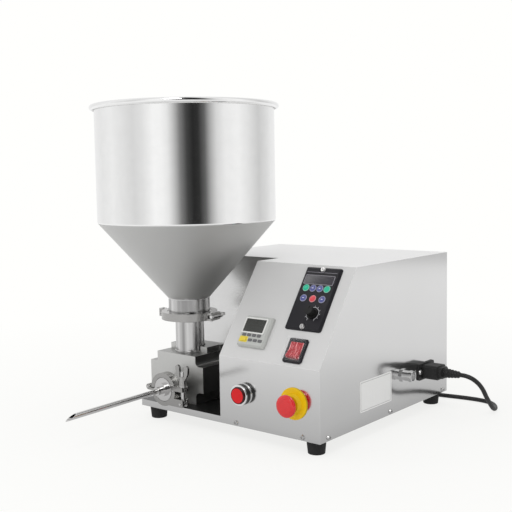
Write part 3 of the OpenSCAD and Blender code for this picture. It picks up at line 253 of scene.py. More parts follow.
def cast_steel(name, tint, rough=0.22, depth=5e-5):
    """Investment cast and tumbled: soft hills with a bright skin."""
    f = Finish(name)
    hills = f.noise(f.place(), 190.0, 4.0, 0.55)
    grit = f.noise(f.place(), 1300.0, 2.0)
    return steel(f, f.tinted(hills, tint, 0.86, 1.06),
                 rough + (hills - 0.5) * 0.14 + (grit - 0.5) * 0.06, hills + grit * 0.12,
                 depth, 0.5)


def turned_steel(name, tint, rough=0.10, depth=1.5e-6):
    """Polished steel with a few hairlines."""
    f = Finish(name)
    hairs = f.noise(f.place((160.0, 160.0, 2600.0)), 1.0, 3.0, 0.6)
    clouds = f.noise(f.place(), 60.0, 3.0)
    return steel(f, f.tinted(clouds, tint, 0.95, 1.03),
                 rough + (hairs - 0.5) * 0.06 + (clouds - 0.5) * 0.04, hairs, depth, 0.5)


def satin_steel(name, tint, rough=0.36, metal=1.0, glow=0.0):
    """Spun and blasted sheet that mirrors nothing sharply."""
    f = Finish(name)
    rings = f.noise(f.place((40.0, 40.0, 1800.0)), 1.0, 3.0, 0.6)
    clouds = f.noise(f.place(), 22.0, 4.0)
    # A glow above nought makes the sheet shine by itself: a painted highlight, used on the bends.
    return steel(f, f.tinted(clouds * 0.6 + rings * 0.4, tint, 0.97, 1.03),
                 rough + (rings - 0.5) * 0.08, rings, 1.2e-6, 0.4, metal,
                 Emission_Color=(1.0, 1.0, 1.0), Emission_Strength=glow)


def drawn_steel(name, tint, rough=0.2):
    """Drawn tube: upright streaks, some dark and some bright, partly drawing marks and partly
    painted reflection bands.
    """
    f = Finish(name)
    streaks = f.noise(f.place((62.0, 62.0, 1.0)), 1.0, 2.0, 0.5)
    hairs = f.noise(f.place((1500.0, 1500.0, 12.0)), 1.0, 3.0, 0.6)
    # The deep dark and bright bands in the colour are painted reflections.
    streaks_and_reflections = f.ramp(streaks, [(0.36, 0.15), (0.46, 0.55), (0.56, 0.72), (0.62, 1.0)])
    return steel(f, f.tinted(streaks_and_reflections, tint, 0.40, 1.0), rough + (hairs - 0.5) * 0.10, hairs,
                 1.5e-6, 0.4)


def moulded_plastic(name, tint, rough=0.5, grain=1800.0, depth=1.2e-5, coat=0.0, shine=0.3):
    """Moulded plastic with an eroded grain and a little dust in it."""
    f = Finish(name)
    texture = f.noise(f.place(), grain, 3.0, 0.6)
    dust = f.noise(f.place(), 70.0, 4.0, 0.6)
    return f.close(
        Base_Color=f.tinted(dust, tint, 0.93, 1.08),
        Roughness=(rough + (texture - 0.5) * 0.12 + (dust - 0.5) * 0.08).clamped(),
        Specular_IOR_Level=shine,
        Coat_Weight=coat,
        Normal=f.bump(texture, depth, 0.6),
    )


def rubber(name, tint, rough=0.72):
    f = Finish(name)
    skin = f.noise(f.place(), 900.0, 4.0, 0.7)
    chalk = f.noise(f.place(), 45.0, 5.0, 0.7)
    bloom = (chalk ** 3.0) * 0.9
    return f.close(
        Base_Color=f.mix(bloom.clamped(), tint, shade(tint, 2.2)),
        Roughness=(rough + (skin - 0.5) * 0.2).clamped(),
        Normal=f.bump(skin, 3e-5, 0.6),
    )


def enamel(name, tint, rough=0.35):
    """Sprayed paint with orange peel."""
    f = Finish(name)
    peel = f.noise(f.place(), 420.0, 2.0)
    dirt = f.noise(f.place(), 30.0, 5.0, 0.7)
    return f.close(
        Base_Color=f.tinted(dirt, tint, 0.85, 1.1),
        Roughness=(rough + (dirt - 0.5) * 0.15).clamped(),
        Coat_Weight=0.3,
        Normal=f.bump(peel, 4e-5, 0.4),
    )


def glowing_plastic(name, tint, glow, rough=0.18):
    """Coloured plastic that glows faintly, with pale streaks glowing on its ribs as painted
    highlights.
    """
    f = Finish(name)
    ribs = f.noise(f.place((430.0, 50.0, 50.0)), 1.0, 2.0)
    # The pale glow on the ribs is a painted highlight.
    painted_highlight_ribs = f.ramp(ribs, [(0.53, 0.0), (0.60, 1.0)])
    return f.close(
        Base_Color=f.tinted(ribs, tint, 0.8, 1.15),
        Roughness=(rough + (ribs - 0.5) * 0.08).clamped(),
        Specular_IOR_Level=0.3,
        Emission_Color=f.mix(painted_highlight_ribs, shade(tint, 0.15), glow),
        Emission_Strength=0.5,
    )


def clear_plastic(name, tint):
    """Thin soft plastic that lets most light through."""
    f = Finish(name)
    haze = f.noise(f.place(), 140.0, 3.0)
    return f.close(
        Base_Color=f.mix(haze, shade(tint, 0.96), tint),
        Roughness=(0.10 + haze * 0.10).clamped(),
        Alpha=(0.035 + (haze - 0.5) * 0.03).clamped(),
        Specular_IOR_Level=0.2,
    )


def display_glass(name, tint):
    """A dark window with a soft shine."""
    f = Finish(name)
    film = f.noise(f.place(), 130.0, 2.0)
    return f.close(
        Base_Color=f.tinted(film, tint, 0.85, 1.2),
        Roughness=(0.14 + film * 0.08).clamped(),
        Specular_IOR_Level=0.35,
    )


def printed_ink(name, tint):
    f = Finish(name)
    screen = f.noise(f.place(), 2200.0, 2.0)
    return f.close(
        Base_Color=f.tinted(screen, tint, 0.9, 1.05),
        Roughness=(0.45 + (screen - 0.5) * 0.2).clamped(),
    )


# ---------------------------------------------------------------- meshes
def even_normals(mesh, smooth):
    """Shading normals weighted by area, so that a narrow bend doesn't bow the flat beside it."""
    limit = math.cos(math.radians(smooth))
    around = [[] for _ in mesh.vertices]
    for polygon in mesh.polygons:
        for v in polygon.vertices:
            around[v].append((polygon.normal.copy(), polygon.area))
    corners = []
    for polygon in mesh.polygons:
        for v in polygon.vertices:
            total = Vector()
            for normal, area in around[v]:
                if polygon.normal.dot(normal) > limit:
                    total += normal * area
            corners.append(total.normalized() if total.length else polygon.normal)
    mesh.normals_split_custom_set(corners)


def keep_piece(name, bm, finishes, body, smooth=50.0):
    """Makes a mesh object of bm, with smooth faces up to an angle, on a body."""
    mesh = bpy.data.meshes.new(name)
    bmesh.ops.recalc_face_normals(bm, faces=bm.faces)
    bm.to_mesh(mesh)
    bm.free()
    for polygon in mesh.polygons:
        polygon.use_smooth = True
    even_normals(mesh, smooth)
    for material in finishes if isinstance(finishes, (list, tuple)) else [finishes]:
        mesh.materials.append(material)
    piece = bpy.data.objects.new(name, mesh)
    bpy.context.scene.collection.objects.link(piece)
    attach(piece, body)
    return piece


def dress(node, finish, edge=0.3, angle=38.0, smooth=50.0, bend=-1, side=None):
    """The solid of a node with its edges rounded by edge millimetres, in its finish.

    With more finishes, bend is the number of the one for the rounded edges, and
    side(normal) gives the number of the one for a flat face."""
    if node not in NODES:
        raise RuntimeError("the frame has no node " + node)
    bm = bmesh.new()
    bm.from_mesh(NODES[node].data)
    bmesh.ops.remove_doubles(bm, verts=bm.verts, dist=2e-6)
    bmesh.ops.dissolve_limit(bm, angle_limit=math.radians(0.6), verts=bm.verts,
                             edges=bm.edges, delimit=set())
    if edge:
        sharp = [e for e in bm.edges
                 if e.is_manifold and e.calc_face_angle(0.0) > math.radians(angle)]
        bmesh.ops.bevel(bm, geom=sharp, offset=edge * MM, segments=2, profile=0.5,
                        affect="EDGES", clamp_overlap=True, material=bend)
    if side:
        for face in bm.faces:
            if face.material_index == 0:
                face.material_index = side(face.normal)
    piece = keep_piece(node + "_finished", bm, finish, BODY_OF[node], smooth)
    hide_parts(node)
    return piece


def spin(bm, profile, matrix, steps=96, closed=False, index=0):
    """Turns a profile of (radius, height) about the local Z axis."""
    rings = []
    for r, z in profile:
        if r < 1e-6:
            rings.append([bm.verts.new(matrix @ Vector((0, 0, z)))] * steps)
            continue
        rings.append([bm.verts.new(matrix @ Vector((r * math.cos(2 * math.pi * k / steps),
                                                    r * math.sin(2 * math.pi * k / steps), z)))
                      for k in range(steps)])
    pairs = list(zip(rings, rings[1:]))
    if closed:
        pairs.append((rings[-1], rings[0]))
    for low, high in pairs:
        for k in range(steps):
            n = (k + 1) % steps
            corners = list(dict.fromkeys((low[k], low[n], high[n], high[k])))
            if len(corners) > 2:
                bm.faces.new(corners).material_index = index


def slab(bm, outline, low, high, matrix, index=0):
    """A flat piece of an outline, from low to high along the local Z axis."""
    below = [bm.verts.new(matrix @ Vector((x, y, low))) for x, y in outline]
    above = [bm.verts.new(matrix @ Vector((x, y, high))) for x, y in outline]
    faces = [bm.faces.new(below[::-1]), bm.faces.new(above)]
    for k in range(len(outline)):
        n = (k + 1) % len(outline)
        faces.append(bm.faces.new((below[k], below[n], above[n], above[k])))
    for face in faces:
        face.material_index = index


def round_corners(w, h, r, x=0.0, y=0.0, steps=6):
    points = []
    for sx, sy, start in ((1, 1, 0), (-1, 1, 90), (-1, -1, 180), (1, -1, 270)):
        for k in range(steps + 1):
            a = math.radians(start + 90 * k / steps)
            points.append((x + sx * (w / 2 - r) + r * math.cos(a),
                           y + sy * (h / 2 - r) + r * math.sin(a)))
    return points


def band(outer, inner, bm, low, high, matrix, index=0):
    """A flat frame between two outlines with the same number of points."""
    rows = []
    for z in (low, high):
        rows.append(([bm.verts.new(matrix @ Vector((x, y, z))) for x, y in outer],
                     [bm.verts.new(matrix @ Vector((x, y, z))) for x, y in inner]))
    (ob, ib), (ot, it) = rows
    count = len(outer)
    for k in range(count):
        n = (k + 1) % count
        for corners in ((ot[k], ot[n], it[n], it[k]), (ob[k], ib[k], ib[n], ob[n]),
                        (ob[k], ob[n], ot[n], ot[k]), (ib[k], it[k], it[n], ib[n])):
            bm.faces.new(corners).material_index = index


def sweep(bm, points, radius, sides=12):
    """A round tube along points, with closed ends."""
    rings, side = [], None
    for i, p in enumerate(points):
        ahead = (points[min(i + 1, len(points) - 1)] - points[max(i - 1, 0)]).normalized()
        if side is None:
            side = ahead.cross(Vector((0, 0, 1))).normalized()
        side = (side - ahead * side.dot(ahead)).normalized()
        up = ahead.cross(side)
        rings.append([bm.verts.new(p + radius * (math.cos(2 * math.pi * k / sides) * side
                                                 + math.sin(2 * math.pi * k / sides) * up))
                      for k in range(sides)])
    for low, high in zip(rings, rings[1:]):
        for k in range(sides):
            n = (k + 1) % sides
            bm.faces.new((low[k], low[n], high[n], high[k]))
    bm.faces.new(rings[0][::-1])
    bm.faces.new(rings[-1])


# ---------------------------------------------------------------- settings
def colour(title, words, default):
    return FloatVectorProperty(name=title, description=words, subtype="COLOR", size=3,
                               min=0.0, max=1.0, default=default)


def number(title, words, default, low, high, unit="NONE"):
    return FloatProperty(name=title, description=words, default=default, min=low, max=high,
                         unit=unit)


class FillerColours(bpy.types.PropertyGroup):
    sheet: colour("Sheet", "Tint of the housing's stainless sheet", (0.73, 0.728, 0.725))
    hopper: colour("Hopper", "Tint of the hopper's polished sheet", (0.93, 0.93, 0.925))
    cone: colour("Cone", "Tint of the hopper's satin cone", (0.62, 0.62, 0.61))
    block: colour("Pump block", "Tint of the machined pump block", (0.66, 0.66, 0.645))
    casting: colour("Castings", "Tint of the clamps and the wing nut", (0.43, 0.425, 0.415))
    polished: colour("Polished", "Tint of pipe, neck and nozzle", (0.68, 0.675, 0.67))
    black: colour("Black plastic", "Tint of the controller and switch frame",
                  (0.013, 0.012, 0.016))
    grey: colour("Grey plastic", "Tint of the timer's case", (0.52, 0.53, 0.51))
    red: colour("Red", "Tint of the buttons", (0.72, 0.010, 0.014))
    yellow: colour("Yellow", "Tint of the emergency stop's plate", (0.90, 0.60, 0.004))
    key_green: colour("Green keys", "Tint of the run keys", (0.01, 0.50, 0.30))
    key_blue: colour("Blue keys", "Tint of the setting keys", (0.09, 0.10, 0.30))
    key_red: colour("Red key", "Tint of the stop key", (0.72, 0.06, 0.08))
    rubber: colour("Rubber", "Tint of feet, cord and plugs", (0.012, 0.012, 0.012))


class FillerSizes(bpy.types.PropertyGroup):
    sheet_bend: number("Bend", "Rounding of the sheet's bends, mm", 1.6, 0.2, 3.0)
    block_edge: number("Block edge", "Chamfer of the pump block, mm", 0.5, 0.1, 1.5)
    cord_radius: number("Cord radius", "Radius of the mains cord", 0.0035, 0.002, 0.005, "LENGTH")
    key_lamp: number("Key lamp", "Power of the key lamp, in watts", 9.0, 0.0, 60.0)
    fill_lamp: number("Fill lamp", "Power of the fill lamp, in watts", 5.0, 0.0, 60.0)
    sky: number("Sky", "Strength of the soft light from all round", 0.78, 0.0, 2.0)


def colours():
    return bpy.context.scene.filler_colours


def sizes():
    return bpy.context.scene.filler_sizes


# ---------------------------------------------------------------- stage and cord
CAMERA_SPOT = at(657.3067, -920.1946, 360.2351)
CAMERA_YAW, CAMERA_PITCH, CAMERA_ROLL = 0.6920145838, 0.0936053097, -0.0174532925
CAMERA_LENS, SENSOR = 61.01, 36.0
# The way from the hopper to the camera, level, and the way to the camera's right
TOWARD = (at(657.3067, -920.1946, 0) - at(-290.5, 56.5, 0)).normalized()
ACROSS = Vector((-TOWARD.y, TOWARD.x, 0))
# What the steel mirrors, by degrees to the right of the way to the camera: white walls
# with two grey ones, and a dark doorway with soft sides just right of the camera
ROOM = [(-180, 0.92), (-130, 0.84), (-105, 0.90), (-83, 0.80), (-68, 0.72), (-55, 0.79),
        (-40, 0.98), (-30, 0.96), (-22, 0.85), (-15, 0.58), (-7, 0.22), (1, 0.06), (9, 0.02),
        (16, 0.03), (24, 0.13), (31, 0.43), (39, 0.72), (50, 0.88), (70, 0.94), (84, 0.82),
        (105, 0.63), (121, 0.73), (138, 0.85), (180, 0.92)]
# The floor's brightness as the steel mirrors it, by metres from the machine's base: painted shade,
# darker near the base
FLOOR_PAINTED_SHADE = [(0.0, 0.44), (0.08, 0.60), (0.45, 0.87), (1.5, 0.95), (2.5, 0.96)]
BASE_MIDDLE, BASE_HALF = at(-172.5, 180, 0), (0.1725, 0.18)
FLOOR_R = 2.6
PAPER_WHITE = (1.0, 1.0, 0.985)
# Each lamp's name, place, aim and width in metres, and whether the steel mirrors it
LAMPS = [("key_lamp", (0.75, -1.55, 2.0), (0, 0, 0.2), 0.8, True),
         ("fill_lamp", (-1.6, -0.9, 1.6), (0, 0, 0.15), 1.3, False)]


class FILLER_OT_stage(bpy.types.Operator):
    """Camera, white floor, soft lamps and the room that the steel mirrors"""

    bl_idname = "filler.stage"
    bl_label = "Stage"

    def execute(self, context):
        self.camera(context)
        self.floor()
        self.world(context)
        self.lamps(context)
        return {"FINISHED"}

    def camera(self, context):
        yaw, pitch = CAMERA_YAW, CAMERA_PITCH
        ahead = Vector((-math.sin(yaw) * math.cos(pitch), math.cos(yaw) * math.cos(pitch),
                        -math.sin(pitch)))
        right = ahead.cross(Vector((0, 0, 1))).normalized()
        turn = Matrix((right, right.cross(ahead), -ahead)).transposed()
        data = bpy.data.cameras.new("photo_camera")
        data.lens, data.sensor_width = CAMERA_LENS, SENSOR
        camera = bpy.data.objects.new("photo_camera", data)
        roll = Matrix.Rotation(CAMERA_ROLL, 4, "Z")
        camera.matrix_world = Matrix.Translation(CAMERA_SPOT) @ turn.to_4x4() @ roll
        context.scene.collection.objects.link(camera)
        context.scene.camera = camera

    def floor(self):
        """A white disc that keeps the machine's shadow and fades into the backdrop."""
        f = Finish("paper_floor")
        away = self.away(f)
        shown = f.ramp(away / 0.9, [(0.0, 0.78), (0.25, 0.86), (1.0, 1.0)])
        seen = f.ray("Camera") + f.ray("Transmission")
        gloss = f.ray("Glossy")
        fibre = f.noise(f.place(), 40.0, 4.0)
        paper = f.mix(fibre, (0.86, 0.86, 0.85), (0.88, 0.88, 0.87))
        diffuse = f.node("ShaderNodeBsdfDiffuse", {}, Color=paper)
        # The steel sees the floor as a glow with painted shade near the base, not as the lit paper.
        mirrored = f.ramp(away / 2.5, [(d / 2.5, v) for d, v in FLOOR_PAINTED_SHADE])
        glow = f.node("ShaderNodeEmission", {}, Color=f.mix(gloss, PAPER_WHITE, mirrored))
        share = (seen * shown + gloss).clamped()
        both = f.node("ShaderNodeMixShader", {}, share, diffuse, glow)
        f.tree.links.new(both.socket, f.out.inputs[0])
        bm = bmesh.new()
        bmesh.ops.create_circle(bm, cap_ends=True, segments=96, radius=FLOOR_R)
        self.stand(bm, "floor", f.material)

    def away(self, f):
        """How far a spot lies outside the machine's base, in metres."""
        squares = []
        for spot, middle, half in zip(f.parts(), BASE_MIDDLE, BASE_HALF):
            out = f.node("ShaderNodeMath", {"operation": "ABSOLUTE"}, spot - middle) - half
            squares.append(f.node("ShaderNodeMath", {"operation": "MAXIMUM"}, out, 0.0) ** 2.0)
        return (squares[0] + squares[1]) ** 0.5

    def stand(self, bm, name, material):
        """Makes a piece of the stage."""
        mesh = bpy.data.meshes.new(name)
        bm.to_mesh(mesh)
        bm.free()
        mesh.materials.append(material)
        piece = bpy.data.objects.new(name, mesh)
        bpy.context.scene.collection.objects.link(piece)

    def world(self, context):
        """White to the eye, soft to paint, and with the room's dark strip for steel."""
        world = bpy.data.worlds.new("white_room")
        context.scene.world = world
        world.use_nodes = True
        n = Nodes(world.node_tree)
        way = n.node("ShaderNodeTexCoord", {}, pick="Generated")
        side, ahead = (n.node("ShaderNodeVectorMath", {"operation": "DOT_PRODUCT"}, way, axis,
                              pick="Value") for axis in (ACROSS, TOWARD))
        turn = n.node("ShaderNodeMath", {"operation": "ARCTAN2"}, side, ahead)
        room = n.ramp(turn / (2 * math.pi) + 0.5, [(a / 360 + 0.5, v) for a, v in ROOM])
        soft = n.node("ShaderNodeBackground", {}, Color=(1.0, 1.0, 1.0), Strength=sizes().sky)
        mirrored = n.node("ShaderNodeBackground", {}, Color=room)
        white = n.node("ShaderNodeBackground", {}, Color=PAPER_WHITE)
        lit = n.node("ShaderNodeMixShader", {}, n.ray("Glossy"), soft, mirrored)
        seen = (n.ray("Camera") + n.ray("Transmission")).clamped()
        both = n.node("ShaderNodeMixShader", {}, seen, lit, white)
        out = n.tree.nodes.new("ShaderNodeOutputWorld")
        n.tree.links.new(both.socket, out.inputs[0])

    def lamps(self, context):
        for name, spot, aim, size, mirrored in LAMPS:
            data = bpy.data.lights.new(name, "AREA")
            data.shape, data.size, data.energy = "DISK", size, getattr(sizes(), name)
            lamp = bpy.data.objects.new(name, data)
            lamp.location = spot
            lamp.rotation_euler = (Vector(aim) - lamp.location).to_track_quat("-Z", "Y").to_euler()
            lamp.visible_camera = False
            lamp.visible_glossy = mirrored
            context.scene.collection.objects.link(lamp)


# The cord's route and coil, as in the solids
FLOOR_Z = -19.6 + 3.5
COIL_X, COIL_Y, COIL_R0, COIL_OUT, COIL_PITCH = -200.0, 425.0, 49.8, 11.0, 7.7
COIL_TURNS, COIL_END = 2.75, 5.5
CORD_EXIT = 2.5 + 0.3 + 31 + 26
CORD_ROUTE = [
    (CORD_EXIT, 287, 48), (CORD_EXIT + 10, 287, 47.6), (80, 289, 44), (87.5, 294, 36.5),
    (91, 302, 26), (92, 311, 14), (92, 322, 3), (91, 334, -7), (88.5, 348, -14),
    (84, 363, FLOOR_Z), (75, 377, FLOOR_Z), (62, 387, FLOOR_Z), (46, 391, FLOOR_Z),
    (28, 391, FLOOR_Z), (10, 389, FLOOR_Z), (-8, 386, FLOOR_Z), (-26, 383, FLOOR_Z),
    (-44, 380, FLOOR_Z), (-62, 377, FLOOR_Z), (-80, 375.2, FLOOR_Z), (-104, 375.2, FLOOR_Z),
    (-128, 375.2, FLOOR_Z), (-152, 375.2, FLOOR_Z), (-176, 375.2, FLOOR_Z),
]
CORD_LENGTH = 1.8


def share(t, start, span):
    return min(1.0, max(0.0, (t - start) / span))


def coil_point(t):
    """The cord's middle t turns into the coil."""
    radius = (COIL_R0 + COIL_OUT * share(t, COIL_END - 0.6, 0.4)
              - COIL_PITCH * (t if t < COIL_TURNS else COIL_END - t))
    climb = COIL_PITCH * share(t, COIL_TURNS - 0.25, 0.5)
    a = math.radians(-90 - 360 * t)
    return at(COIL_X + radius * math.cos(a), COIL_Y + radius * math.sin(a), FLOOR_Z + climb)


def smooth_line(points, parts=4):
    """More points along a smooth curve through points."""
    line = []
    for i in range(len(points) - 1):
        p0, p1, p2 = points[max(i - 1, 0)], points[i], points[i + 1]
        p3 = points[min(i + 2, len(points) - 1)]
        for k in range(parts):
            t = k / parts
            line.append(0.5 * (2 * p1 + (p2 - p0) * t + (2 * p0 - 5 * p1 + 4 * p2 - p3) * t * t
                               + (3 * p1 - p0 - 3 * p2 + p3) * t ** 3))
    return [*line, points[-1]]


class FILLER_OT_cord(bpy.types.Operator):
    """The mains cord from its plug to the coil behind the machine"""

    bl_idname = "filler.cord"
    bl_label = "Mains cord"

    def execute(self, context):
        skin = rubber("cord_sheath", colours().rubber, 0.5)
        plugs = [dress("mains_plug", skin, 0.6), dress("wall_plug", skin, 0.6)]
        steps = 48
        turns = [coil_point(i / steps) for i in range(int(COIL_END * steps) + 1)]
        route = smooth_line([at(*p) for p in CORD_ROUTE] + turns[:1])
        path = route[:-1] + turns
        bm = bmesh.new()
        sweep(bm, path, sizes().cord_radius)
        cord = keep_piece("mains_cord_sheath", bm, skin, "machine")
        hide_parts("mains_cord", "cord_coil")
        length = sum((b - a).length for a, b in zip(path, path[1:]))
        if abs(length - CORD_LENGTH) > 0.01:
            raise RuntimeError("the cord is %.3f m long" % length)
        return {"FINISHED"}


# ---------------------------------------------------------------- housing
# The label's middle on the side, its width and its height
LABEL = (141.0, 43.0, 86.0, 45.0)
SHAFT_TINT = (0.66, 0.66, 0.66)
GASKET_TINT = (0.72, 0.72, 0.69)


class FILLER_OT_housing(bpy.types.Operator):
    """Cover, walls, pan, screws, feet and the bare label plate"""

    bl_idname = "filler.housing"
    bl_label = "Housing"

    def execute(self, context):
        tint, bend = colours().sheet, sizes().sheet_bend
        # The bends' finish is white and glows a little by itself: a painted highlight along every
        # bend.
        cover = [rolled_steel("cover_sheet", tint, 0.13),
                 satin_steel("bend_shine", (0.98, 0.98, 0.98), 0.30, 0.0, 0.45),
                 satin_steel("panel_sheet", shade(tint, 0.98), 0.55, 0.30),
                 satin_steel("top_sheet", shade(tint, 1.24), 0.42, 0.60)]
        # The top's finish is the sheet tinted paler: painted light on the top.
        dress("housing_cover", cover, bend, 25.0, bend=1, side=self.cover_side)
        # The wall's tint is raised above the sheet's to lift the shade of the recess: painted
        # light.
        dress("recess_panel", satin_steel("wall_sheet", shade(tint, 1.06), 0.26, 0.9), 0.3)
        dress("rear_panel", satin_steel("rear_sheet", tint, 0.48, 0.5), 0.4)
        # The pan's upward faces are nearly black: painted shade.
        pan = [rolled_steel("pan_sheet", tint, 0.13),
               satin_steel("pan_inside", shade(tint, 0.16), 0.40)]
        dress("base_pan", pan, 0.8, side=lambda normal: int(normal.z > 0.7))
        dress("pan_screws", turned_steel("screw_steel", shade(colours().polished, 0.95), 0.3),
              0.2)
        dress("rubber_feet", rubber("foot_rubber", colours().rubber), 1.0)
        y, z, w, h = LABEL
        f = Finish("label_foil")
        grain = f.noise(f.place((1.0, 900.0, 30.0)), 1.0, 3.0)
        foil = f.close(Base_Color=f.mix(grain, (0.84, 0.84, 0.83), (0.90, 0.90, 0.89)),
                       Roughness=(0.45 + grain * 0.1).clamped())
        rim = printed_ink("label_border", (0.42, 0.42, 0.42))
        bm = bmesh.new()
        m = on_side(y, z)
        slab(bm, round_corners(w, h, 2.0), 0.0, 0.25, m)
        band(round_corners(w - 4, h - 4, 1.5), round_corners(w - 5.2, h - 5.2, 1.0), bm,
             0.25, 0.29, m, 1)
        keep_piece("label_plate", bm, [foil, rim], "machine")
        return {"FINISHED"}

    @staticmethod
    def cover_side(normal):
        """The slope and the top are satin, the front and the side are bright; the top's tint is
        painted paler, as painted light.
        """
        if normal.z > 0.9:
            return 3
        return 2 if normal.z > 0.3 else 0


class FILLER_OT_pump(bpy.types.Operator):
    """Pump block, its cover, gears, shafts and screws"""

    bl_idname = "filler.pump"
    bl_label = "Pump"

    def execute(self, context):
        tint = colours().block
        # The second finish, nearly black, is painted shade on the block's right side; the third is
        # painted shade that darkens the top.
        block = [machined_steel("block_steel", tint, 0.40),
                 machined_steel("block_side", shade(tint, 0.16), 0.45),
                 machined_steel("block_top", shade(tint, 0.62), 0.40)]
        for node in ("pump_body", "pump_rear_cover"):
            dress(node, block, sizes().block_edge, side=self.block_side)
        dress("cap_screws", machined_steel("cap_screw_steel", (0.20, 0.20, 0.21), 0.35), 0.3)
        dress("shaft_bushes", turned_steel("bronze", (0.60, 0.42, 0.20), 0.25), 0.3)
        dress("shaft_seal", rubber("seal_rubber", colours().rubber), 0.3)
        dress("pump_lantern", cast_steel("cast_alloy", (0.55, 0.55, 0.56), 0.4), 0.6)
        ground = turned_steel("ground_steel", SHAFT_TINT, 0.16)
        for node in ("drive_shaft", "drive_gear", "idler_gear"):
            dress(node, ground, 0.3)
        return {"FINISHED"}

    @staticmethod
    def block_side(normal):
        """The block's right side is painted nearly black as shade, and its top is painted darker
        than its front as shade.
        """
        if normal.x > 0.7:
            return 1
        return 2 if normal.z > 0.7 else 0


class FILLER_OT_drive(bpy.types.Operator):
    """Coupling, gearhead, motor, bracket and capacitor behind the wall"""

    bl_idname = "filler.drive"
    bl_label = "Drive"

    def execute(self, context):
        dress("shaft_coupling", machined_steel("coupling_steel", (0.22, 0.22, 0.24), 0.4), 0.5)
        dress("gearhead_shaft", turned_steel("output_steel", SHAFT_TINT, 0.16), 0.3)
        dress("gearhead", cast_steel("gearhead_alloy", (0.52, 0.52, 0.53), 0.45), 0.8)
        dress("motor", enamel("motor_paint", (0.05, 0.055, 0.06)), 0.6)
        dress("motor_bracket", cast_steel("zinc_plate", (0.58, 0.58, 0.55), 0.35, 2e-5), 0.5)
        dress("motor_capacitor", turned_steel("can_alloy", (0.66, 0.66, 0.68), 0.35), 0.4)
        return {"FINISHED"}


# ---------------------------------------------------------------- hopper
HOPPER_R, NECK_R, WALL, BEAD = 138.5, 32.5, 1.5, 4.0
CONE_Z0, CONE_Z1, RIM_Z, JOINT_Z = 170.3, 290.3, 465.3, 142.8
FLANGE_R, FLANGE_T, TAPER = 38.75, 2.85, math.tan(math.radians(20))


class FILLER_OT_hopper(bpy.types.Operator):
    """Hopper with rolled rim and welded seams, its gasket, pipe and clamp"""

    bl_idname = "filler.hopper"
    bl_label = "Hopper"

    def execute(self, context):
        polished = drawn_steel("pipe_steel", colours().polished)
        casting = machined_steel("clamp_steel", colours().casting, 0.24, 4e-6)
        self.shell()
        dress("inlet_pipe", polished, 0.25)
        dress("hopper_gasket", moulded_plastic("gasket_white", GASKET_TINT, 0.6), 0.2)
        for node in ("hopper_clamp_rear_half", "hopper_clamp_front_half"):
            dress(node, casting, 0.8)
        bright = turned_steel("bolt_steel", shade(colours().polished, 1.02), 0.14)
        for node in ("hopper_clamp_bolt", "hopper_clamp_washer", "hopper_clamp_nut",
                     "clamp_pins"):
            dress(node, bright, 0.3)
        return {"FINISHED"}

    def shell(self):
        finishes = [turned_steel("hopper_sheet", colours().hopper, 0.07, 1.0e-6),
                    cast_steel("weld_seam", shade(colours().hopper, 0.80), 0.20, 4e-5),
                    satin_steel("cone_sheet", colours().cone, 0.48, 0.9),
                    drawn_steel("neck_steel", colours().polished),
                    satin_steel("hopper_inside", shade(colours().hopper, 0.86), 0.40, 0.45)]
        inner_r, low = NECK_R - WALL, JOINT_Z + 1.0
        flange_top = low + FLANGE_T
        outside = [(inner_r, low), (FLANGE_R, low), (FLANGE_R, flange_top),
                   (NECK_R, flange_top + (FLANGE_R - NECK_R) * TAPER), (NECK_R, CONE_Z0 - 1.2),
                   (NECK_R + 0.7, CONE_Z0 + 0.4)]
        knee = [(HOPPER_R - 2.0, CONE_Z1 - 2.25), (HOPPER_R - 0.5, CONE_Z1 - 0.4),
                (HOPPER_R, CONE_Z1 + 1.8)]
        bead_x = HOPPER_R + BEAD - WALL / 2
        bead = [(bead_x + BEAD * math.cos(a), RIM_Z + BEAD * math.sin(a))
                for a in (math.radians(190 + 15 * k) for k in range(23))]
        inside = [(HOPPER_R - WALL, RIM_Z - 1.0), (HOPPER_R - WALL, CONE_Z1 + 2.2),
                  (HOPPER_R - WALL - 2.2, CONE_Z1 - 1.8), (inner_r + 0.4, CONE_Z0 + 1.0),
                  (inner_r, CONE_Z0 - 0.8)]
        bm = bmesh.new()
        turn = turned(at(-290.5, 56.5, 0))
        spin(bm, outside + knee + [(HOPPER_R, RIM_Z - 3.0)] + bead + inside, turn, 160,
             closed=True)
        bmesh.ops.recalc_face_normals(bm, faces=bm.faces)
        for face in bm.faces:
            middle = turn.inverted() @ face.calc_center_median()
            inward = face.normal.x * middle.x + face.normal.y * middle.y < 0
            inner = inward and low + FLANGE_T < middle.z < RIM_Z - 0.8
            face.material_index = 4 if inner else self.part_of(middle.z)
        piece = keep_piece("hopper_shell", bm, finishes, "machine", 40)
        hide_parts("hopper")

    @staticmethod
    def part_of(height):
        """The finish of the hopper at a height: neck, weld, cone or cylinder."""
        if height < CONE_Z0 - 0.8:
            return 3
        if height < CONE_Z0 + 1.4:
            return 1
        return 2 if height < CONE_Z1 - 1.0 else 0


